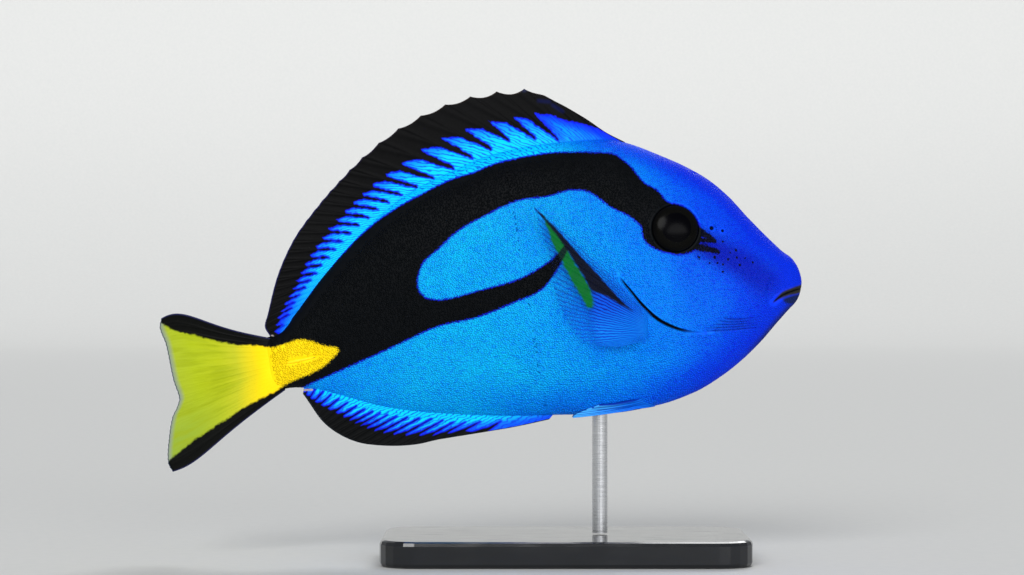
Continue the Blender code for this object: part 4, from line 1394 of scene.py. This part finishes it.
# %% Make the breast fins
PECTORAL_RAYS = 16
PECTORAL_SPREAD = 3.6
pectoral_tip_u = smooth_curve(
    (0, 57.7), (2, 56.8), (3, 56.1), (6, 56.2), (8, 55.1), (10, 53.4), (12, 50.2), (15, 43.8),
)
pectoral_tip_v = smooth_curve((0, 26.4), (3, 16), (6, 7), (9, -0.4), (12, -6.2), (15, -7.9))
pectoral_bow = smooth_curve((0, 0.9), (2, 0.3), (5, -0.3), (9, -0.2), (15, 0))
pectoral_spread = smooth_curve((0, PECTORAL_SPREAD), (15, PECTORAL_SPREAD / 3))
GREEN_STRIPE = rounded((
    (56.2, 23.6), (55.6, 20.5), (55.0, 17.6), (54.0, 14.5), (53.1, 11.4), (52.0, 8.4), (50.7, 5.0),
    (49.6, 2.1), (48.4, 1.9), (47.8, 3.6), (48.4, 7.2), (49.6, 10.3), (51.1, 13.8), (51.9, 16.5),
    (52.9, 19.0), (54.2, 21.4), (56.0, 24.2),
), steps=3)
BLACK_WEDGE = rounded((
    (57.8, 26.4), (55.6, 23.4), (53.6, 20.7), (50.5, 15.9), (47.2, 10.8), (43.9, 5.7), (40.6, 1.0),
    (39.6, -0.2), (42.3, 1.9), (45.1, 4.3), (47.6, 5.6), (48.4, 7.2), (49.5, 10.3), (51.0, 13.8),
    (52.3, 16.7), (53.8, 19.6), (56.2, 23.9),
), steps=3)
ROOT_LOBE = rounded((
    (47.3, 6.5), (45.5, 4.9), (42.3, 2.1), (40.0, 0.5), (36.7, -2.5), (36.9, -5.2), (39.1, -6.7),
    (42.0, -7.6), (45.7, -7.9), (47.4, -6.7), (48.1, -4.3), (48.1, 1.6),
), steps=3)


def pectoral_fin(name, side):
    """One breast fin, with its stripe, wedge, root lobe and rays stored as values."""
    def place(k, s):
        lower = k / (PECTORAL_RAYS - 1)
        root = (toward(35.2, 36.8, lower), toward(-2.5, -7.4, lower))
        s = s**1.5
        bow = 4 * pectoral_bow(k) * s * (1 - s)
        u, v = toward(root[0], pectoral_tip_u(k), s), toward(root[1], pectoral_tip_v(k), s) + bow
        off = 1.5 * np.minimum(1.0, s / 0.08) + pectoral_spread(k) * np.sin(s * np.pi / 2)
        return u, v, side * (flank(*root) - FIN_SUNK + off)

    def values(k, s, u, v):
        return {
            "green": inside(u, v, GREEN_STRIPE),
            "wedge": inside(u, v, BLACK_WEDGE),
            "lobe": inside(u, v, ROOT_LOBE),
            "black": inside(u, v, BLACK_MARK),
            "low": ease(3.0, -4.0, v),
            "ray": k,
        }

    return fin_shell(name, PECTORAL_RAYS, 18, 50, place, rayed(1.3, 0.25, 0.7, 0.35), values)


pectorals = both(pectoral_fin, "breast_fin")
print("breast fin faces:", len(pectorals[0].data.polygons))

# %% [markdown]
# The pelvic fins are folded back along the belly. Each has one spine and three rays here, which
# is enough for a strip four millimetres deep.

# %% Make the pelvic fins
PELVIC_RAYS = 4
KEEL_HALF_WIDTH = 2.4
PELVIC_STAND_OFF = 0.75
pelvic_tip_u = smooth_curve((0, 56.7), (1, 56.0), (3, 50.0))
pelvic_tip_v = smooth_curve((0, -22.4), (1, -21.8), (3, -20.4))


def pelvic_fin(name, side):
    """One pelvic fin, laid against the belly."""
    def place(k, s):
        root = (37.6 + 0.9 * k, -22.6 + 0.75 * k)
        u = toward(root[0], pelvic_tip_u(k), s)
        v = toward(root[1], pelvic_tip_v(k), s) - 1.2 * s * (1 - s)
        beside = np.maximum(flank(u, v), KEEL_HALF_WIDTH) + PELVIC_STAND_OFF
        return u, v, side * toward(flank(*root) - FIN_SUNK, beside, np.minimum(1.0, 4 * s))

    def values(k, s, u, v):
        return {"height": s, "ray": k}

    return fin_shell(name, PELVIC_RAYS, 20, 40, place, rayed(0.9, 0.4, 0.9, 0.5), values)


pelvics = both(pelvic_fin, "belly_fin")
print("pelvic fin faces:", len(pelvics[0].data.polygons))

# %% [markdown]
# Fin webs are thin dried skin over horny rays: satin, with a fine cross grain. The back and anal
# fins are painted by one function. Their blue is streaked with fine darker lines, bright cyan at
# the body and royal at the tips of the teeth, and it ends in a thin seam of royal blue.

# %% Paint the back and anal fins


def toothed_fin(name, web, front_rim, rear_rim, ragged):
    """The finish of a black fin with streaked blue teeth and a thin rim."""
    material, tree, shader = new_material(name, roughness=0.55, **WET_SKIN)
    rough = noise(tree, 1.1)
    mark = {label: add(tree, "ShaderNodeAttribute", attribute_name=label).outputs["Fac"]
            for label in ("blue", "fleck", "rear", "tip", "pale")}
    blue = layered(
        tree, streaked_blue(tree, shaken(tree, mark["blue"], rough, 0.12)),
        (area(tree, "tooth", 0.6, 0.1, grain=rough, reach=ragged), "#0818D4"),
    )
    tint = layered(
        tree, web,
        (rough, "#0A0A0B"),
        (mark["fleck"], "#070C34"),
        (area(tree, "tooth", -0.1, 0.1, grain=rough, reach=ragged), blue),
        (area(tree, "rim", 0.4, 0.15), layered(tree, front_rim, (mark["rear"], rear_rim))),
        (mark["tip"], "#262A46"),
        (mark["pale"], "#9C9294"),
    )
    finish(tree, shader, tint, noise(tree, 0.5, 3.0), 0.05)
    return material


give(toothed_fin("black_and_blue_back_fin", "#040405", "#221A18", "#17174A", 0.9), dorsal)
give(toothed_fin("black_and_blue_anal_fin", "#020405", "#131A22", "#161D20", 0.3), anal)
print("toothed fins painted")

# %% [markdown]
# The tail fin's yellow is deep gold at the body, pale lemon where the fin begins and greenish
# over the fan, in painted shade toward its lower edge, with broken olive lines along the rays.
# The black edges have a thin violet rim; the yellow turns grey just before the free edge behind.

# %% Paint the tail fin
tail_material, tree, shader = new_material("lemon_tail_fin", roughness=0.5, **WET_SKIN)
rough = noise(tree, 1.2)
height, ray = (add(tree, "ShaderNodeAttribute", attribute_name=label).outputs["Fac"]
               for label in ("height", "ray"))
fan = add(tree, "ShaderNodeValToRGB", {"Fac": height}, stops=(
    (0.0, "#F4D206"), (0.16, "#E8CE0C"), (0.28, "#D8C61C"), (0.4, "#B6B824"),
    (0.55, "#A9B318"), (0.78, "#A1B018"), (1.0, "#9CAC2A"),
))
# Painted shade over the outer part of the lower rays.
lower = add(tree, "ShaderNodeMath", {
    0: area(tree, "ray", 8.0, 15.0, end=0.7), 1: area(tree, "height", 0.3, 0.9),
}, operation="MULTIPLY")
outward = add(tree, "ShaderNodeMath", {0: height, 1: 2.2}, operation="MULTIPLY")
fan_place = add(tree, "ShaderNodeCombineXYZ", {"X": ray, "Y": outward})
broad = add(tree, "ShaderNodeTexNoise", {"Vector": fan_place, "Scale": 1.3, "Detail": 3.0})
broken = add(tree, "ShaderNodeMapRange", {0: broad.outputs["Fac"], 1: 0.42, 2: 0.66},
             interpolation_type=SMOOTH)
olive = add(tree, "ShaderNodeMath", {
    0: broken, 1: area(tree, "height", 0.22, 0.6, end=0.6)}, operation="MULTIPLY")
yellow = layered(
    tree, gold(tree, noise(tree, 5.0)),
    (area(tree, "height", 0.1, 0.26), fan),
    (lower, "#7E9A36"),
    (olive, "#8E9C10"),
    (area(tree, "rim", 1.7, 0.2), "#84907A"),
)
tint = layered(
    tree, "#030404",
    (rough, "#090A08"),
    (area(tree, "yellow", -0.3, 0.3, grain=rough, reach=1.0), yellow),
    (area(tree, "edge", 0.32, 0.1), "#1E2046"),
    (area(tree, "rim", 0.25, 0.1), "#26364E"),
)
finish(tree, shader, tint, rough, 0.04)
give(tail_material, caudal)
print("tail fin painted")

# %% [markdown]
# The breast fin's web is clear film, so its opacity is a pattern too: dense on the wedge and the
# stripe, half dense on the fleshy root, and hardly there between the outer rays. Where the fin
# crosses the black of the flank it is nearly black.

# %% Paint the breast fins
film, tree, shader = new_material("clear_breast_fin", roughness=0.5, **WET_SKIN)
rough = noise(tree, 1.4)
ray, low = (add(tree, "ShaderNodeAttribute", attribute_name=label).outputs["Fac"]
            for label in ("ray", "low"))
phase = add(tree, "ShaderNodeMath", {0: ray, 1: 2.0, 2: rough}, operation="MULTIPLY_ADD")
on_line = lines(tree, phase, -0.2, 0.9)
on_black = area(tree, "black", -0.2, 0.3)
stripe = area(tree, "green", -0.5, 0.5, grain=rough, reach=0.9)
wedge = area(tree, "wedge", -0.4, 0.2, grain=rough, reach=0.6)
tint = layered(
    tree, "#065CF0",
    (low, "#088CFA"),
    (on_line, layered(tree, "#03168C", (low, "#0230B8"))),
    (on_black, "#030A28"),
    (stripe, layered(tree, "#026A20", (rough, "#05562A"), (on_black, "#04201C"))),
    (wedge, layered(tree, "#020410", (rough, "#040820"))),
)
thin = area(tree, "lobe", -1.6, 1.0, 0.06, 0.5)
opacity = add(tree, "ShaderNodeMath", {0: on_line, 1: 0.22, 2: thin}, operation="MULTIPLY_ADD")
for part, most in ((wedge, 0.93), (stripe, 0.9)):
    dense = add(tree, "ShaderNodeMath", {0: part, 1: most}, operation="MULTIPLY")
    opacity = add(tree, "ShaderNodeMath", {0: opacity, 1: dense}, operation="MAXIMUM")
feed(tree, shader.inputs["Alpha"], opacity)
finish(tree, shader, tint, on_line, 0.05)
give(film, *pectorals)
print("breast fins painted")

# %% [markdown]
# The folded pelvic fins are pale blue, royal at their roots, with a dark line along every ray
# and one between each two.

# %% Paint the pelvic fins
pale_web, tree, shader = new_material("pale_pelvic_fin", roughness=0.5, **WET_SKIN)
ray = add(tree, "ShaderNodeAttribute", attribute_name="ray").outputs["Fac"]
half_ray = add(tree, "ShaderNodeMath", {0: ray, 1: 2.0}, operation="MULTIPLY")
tint = layered(
    tree, "#0468E0",
    (area(tree, "height", 0.2, 1.0), "#3FA4EE"),
    (lines(tree, half_ray, 0.3, 1.0), "#06319C"),
)
finish(tree, shader, tint, noise(tree, 0.5, 3.0), 0.05)
give(pale_web, *pelvics)
print("pelvic fins painted")

# %% [markdown]
# The blade at the tail's base, which gives surgeonfishes their name, is a smooth horny spike that
# lies in its groove and points forward. It is drawn out of round rings that shrink to the point.

# %% Draw out the tail spines
SPINE_RADIUS = 0.34
SPINE_SUNK = 0.2
SPINE_HEEL = -0.06
SPINE_SIDES = 28
SPINE_STEPS = 40
spine_girth = smooth_curve(
    (SPINE_HEEL, 0.3), (0.0, 0.8), (0.25, 1.0), (0.6, 0.7), (0.9, 0.3), (1.0, 0.05))


def tail_spine(name, side):
    """One tapered blade from its root to its point."""
    share = np.linspace(SPINE_HEEL, 1.0, SPINE_STEPS)
    spin = 2 * np.pi * np.arange(SPINE_SIDES) / SPINE_SIDES
    around, along = np.meshgrid(spin, share, indexing="ij")
    u, v = (toward(base, tip, along) for base, tip in zip(SPINE_BASE, SPINE_TIP))
    radius = SPINE_RADIUS * spine_girth(along)
    out = flank(u, v) - SPINE_SUNK + 0.8 * radius * np.sin(around)
    places = to_model(u, v + radius * np.cos(around), side * out).reshape(-1, 3)
    ends = [to_model(u[0, i], v[0, i], side * (flank(u[0, i], v[0, i]) - SPINE_SUNK))
            for i in (0, -1)]
    return make_piece(name, np.vstack((places, ends)), capped_rings(SPINE_SIDES, SPINE_STEPS),
                      {"height": np.concatenate((along.ravel(), (SPINE_HEEL, 1.0)))})


horn, tree, shader = new_material(
    "horny_tail_spine", roughness=0.42, ior=1.5, specular_ior_level=0.2)
grain = noise(tree, 0.5, 3.0)
pointed = layered(tree, gold(tree, grain), (area(tree, "height", 0.88, 0.98), "#2E1A08"))
finish(tree, shader, pointed, grain, 0.01)
spines = both(tail_spine, "tail_blade")
give(horn, *spines)
print("tail spines, mm long:", round(math.dist(SPINE_BASE, SPINE_TIP), 1))

# %% [markdown]
# The stand keeps the shape it has in the solids and gets the finish of real ones. Its base is
# cast black acrylic, polished, with the faint hairlines that dusting leaves. Its rod is drawn
# stainless steel, brushed round its length.

# %% Finish the stand
acrylic, tree, shader = new_material("polished_black_acrylic", roughness=0.16, ior=1.49)
hairlines = noise(tree, 9.0, 6.0, (1.0, 0.08, 0.3))
worn = add(tree, "ShaderNodeMapRange", {0: hairlines, 1: 0.45, 2: 0.75, 3: 0.13, 4: 0.2},
           interpolation_type=SMOOTH)
feed(tree, shader.inputs["Roughness"], worn)
cast = layered(tree, "#08090B", (noise(tree, 22.0, 4.0), "#15171B"))
finish(tree, shader, cast, hairlines, 0.003, 0.05)

steel, tree, shader = new_material(
    "brushed_stainless_steel", roughness=0.28, metallic=1.0, anisotropic=0.4)
brushing = noise(tree, 4.0, 5.0, (1.0, 1.0, 0.05))
brushed = add(tree, "ShaderNodeMapRange", {0: brushing, 3: 0.2, 4: 0.4}, interpolation_type=SMOOTH)
feed(tree, shader.inputs["Roughness"], brushed)
finish(tree, shader, layered(tree, "#B4B6BA", (brushing, "#D9DADC")), brushing, 0.03)
for name, material in (("stand_base", acrylic), ("stand_rod", steel)):
    nodes[name].data.materials.clear()
    give(material, nodes[name])
print("stand finished")

# %% [markdown]
# The room is a pale bowl: a flat floor that curves up into a low wall far off, so that the model
# can be seen from every side without an edge behind it. The bowl itself casts no shadow, because
# some of the lamps stand low.

# %% Build the studio's bowl
FLOOR_RADIUS = 2.4
CURVE = 0.5
CURVE_STEPS = 12
BOWL_SIDES = 96

bends = np.linspace(0, math.pi / 2, CURVE_STEPS + 1)
run = np.concatenate(((FLOOR_RADIUS / 2,), FLOOR_RADIUS + CURVE * np.sin(bends)))
rise = np.concatenate(((0.0,), CURVE * (1 - np.cos(bends))))
spin = 2 * np.pi * np.arange(BOWL_SIDES) / BOWL_SIDES
around, radius = np.meshgrid(spin, run, indexing="ij")
height = np.broadcast_to(rise, around.shape)
points = np.stack((radius * np.cos(around), radius * np.sin(around), height), -1).reshape(-1, 3)
faces = grid_quads(BOWL_SIDES, len(run), ring=True).tolist()
faces += [((i + 1) % BOWL_SIDES * len(run), i * len(run), len(points)) for i in range(BOWL_SIDES)]
bowl_mesh = bpy.data.meshes.new("studio_bowl")
bowl_mesh.from_pydata([*points.tolist(), (0.0, 0.0, 0.0)], [], faces)
bowl_mesh.shade_smooth()
bowl = linked("studio_bowl", bowl_mesh)
paper, tree, shader = new_material("matte_backdrop_paper", roughness=0.9, specular_ior_level=0.1)
feed(tree, shader.inputs["Base Color"], layered(tree, "#C4C5C4", (noise(tree, 3.0), "#CBCBC9")))
give(paper, bowl)
bowl.visible_shadow = False
print("bowl, m across:", 2 * (FLOOR_RADIUS + CURVE))

# %% [markdown]
# The lamps are very large and far away, so their light is soft: two in front, a weak one from
# below, as from a white card, and one behind. Their light is white, so all colour is the fish's.

# %% Light the studio
world = bpy.data.worlds.new("studio_air")
world.use_nodes = True
world.node_tree.nodes["Background"].inputs["Color"].default_value = colour("#E9ECF0")
world.node_tree.nodes["Background"].inputs["Strength"].default_value = 0.45
bpy.context.scene.world = world

for name, place, strength, width in (
    ("key_light", (-0.3, -1.0, 0.6), 1.7, 28),
    ("fill_light", (0.4, -1.0, 0.1), 1.5, 40),
    ("card_light", (0.1, -1.0, -0.5), 0.5, 50),
    ("back_light", (0.25, 1.0, 0.9), 1.4, 30),
):
    lamp = bpy.data.lights.new(name, "SUN")
    lamp.energy = strength
    lamp.angle = math.radians(width)
    light = linked(name, lamp)
    light.location = place
    light.rotation_euler = (-light.location).to_track_quat("-Z", "Y").to_euler()

# %% [markdown]
# Each piece is now tied to the model: it rides on the one body and stands for the solids that it
# covers. The scales only cover the skin, so they stand for no solid of their own.

# %% Tie the pieces to the model
ties = [
    (tang_skin, "blue_skin", ("head", "trunk", "caudal_peduncle")),
    *((scales, "blue_skin", ()) for scales in coats),
    (eyes[0], "eye", ("eye_left",)),
    (eyes[1], "eye", ("eye_right",)),
    (dorsal, "dark_fin", ("dorsal_fin",)),
    (anal, "blue_fin", ("anal_fin",)),
    (caudal, "yellow_fin", ("caudal_fin",)),
    (pectorals[0], "blue_fin", ("pectoral_fin_left",)),
    (pectorals[1], "blue_fin", ("pectoral_fin_right",)),
    (pelvics[0], "blue_fin", ("pelvic_fin_left",)),
    (pelvics[1], "blue_fin", ("pelvic_fin_right",)),
    (spines[0], "spine", ("tail_spine_left",)),
    (spines[1], "spine", ("tail_spine_right",)),
]
faces = 0
for piece, slot, covered in ties:
    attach(piece, "root")
    if covered:
        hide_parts(*covered)
    count = sum(len(face.vertices) - 2 for face in piece.data.polygons)
    faces += count
    print(piece.name, "triangles:", count)
print("all triangles:", faces)
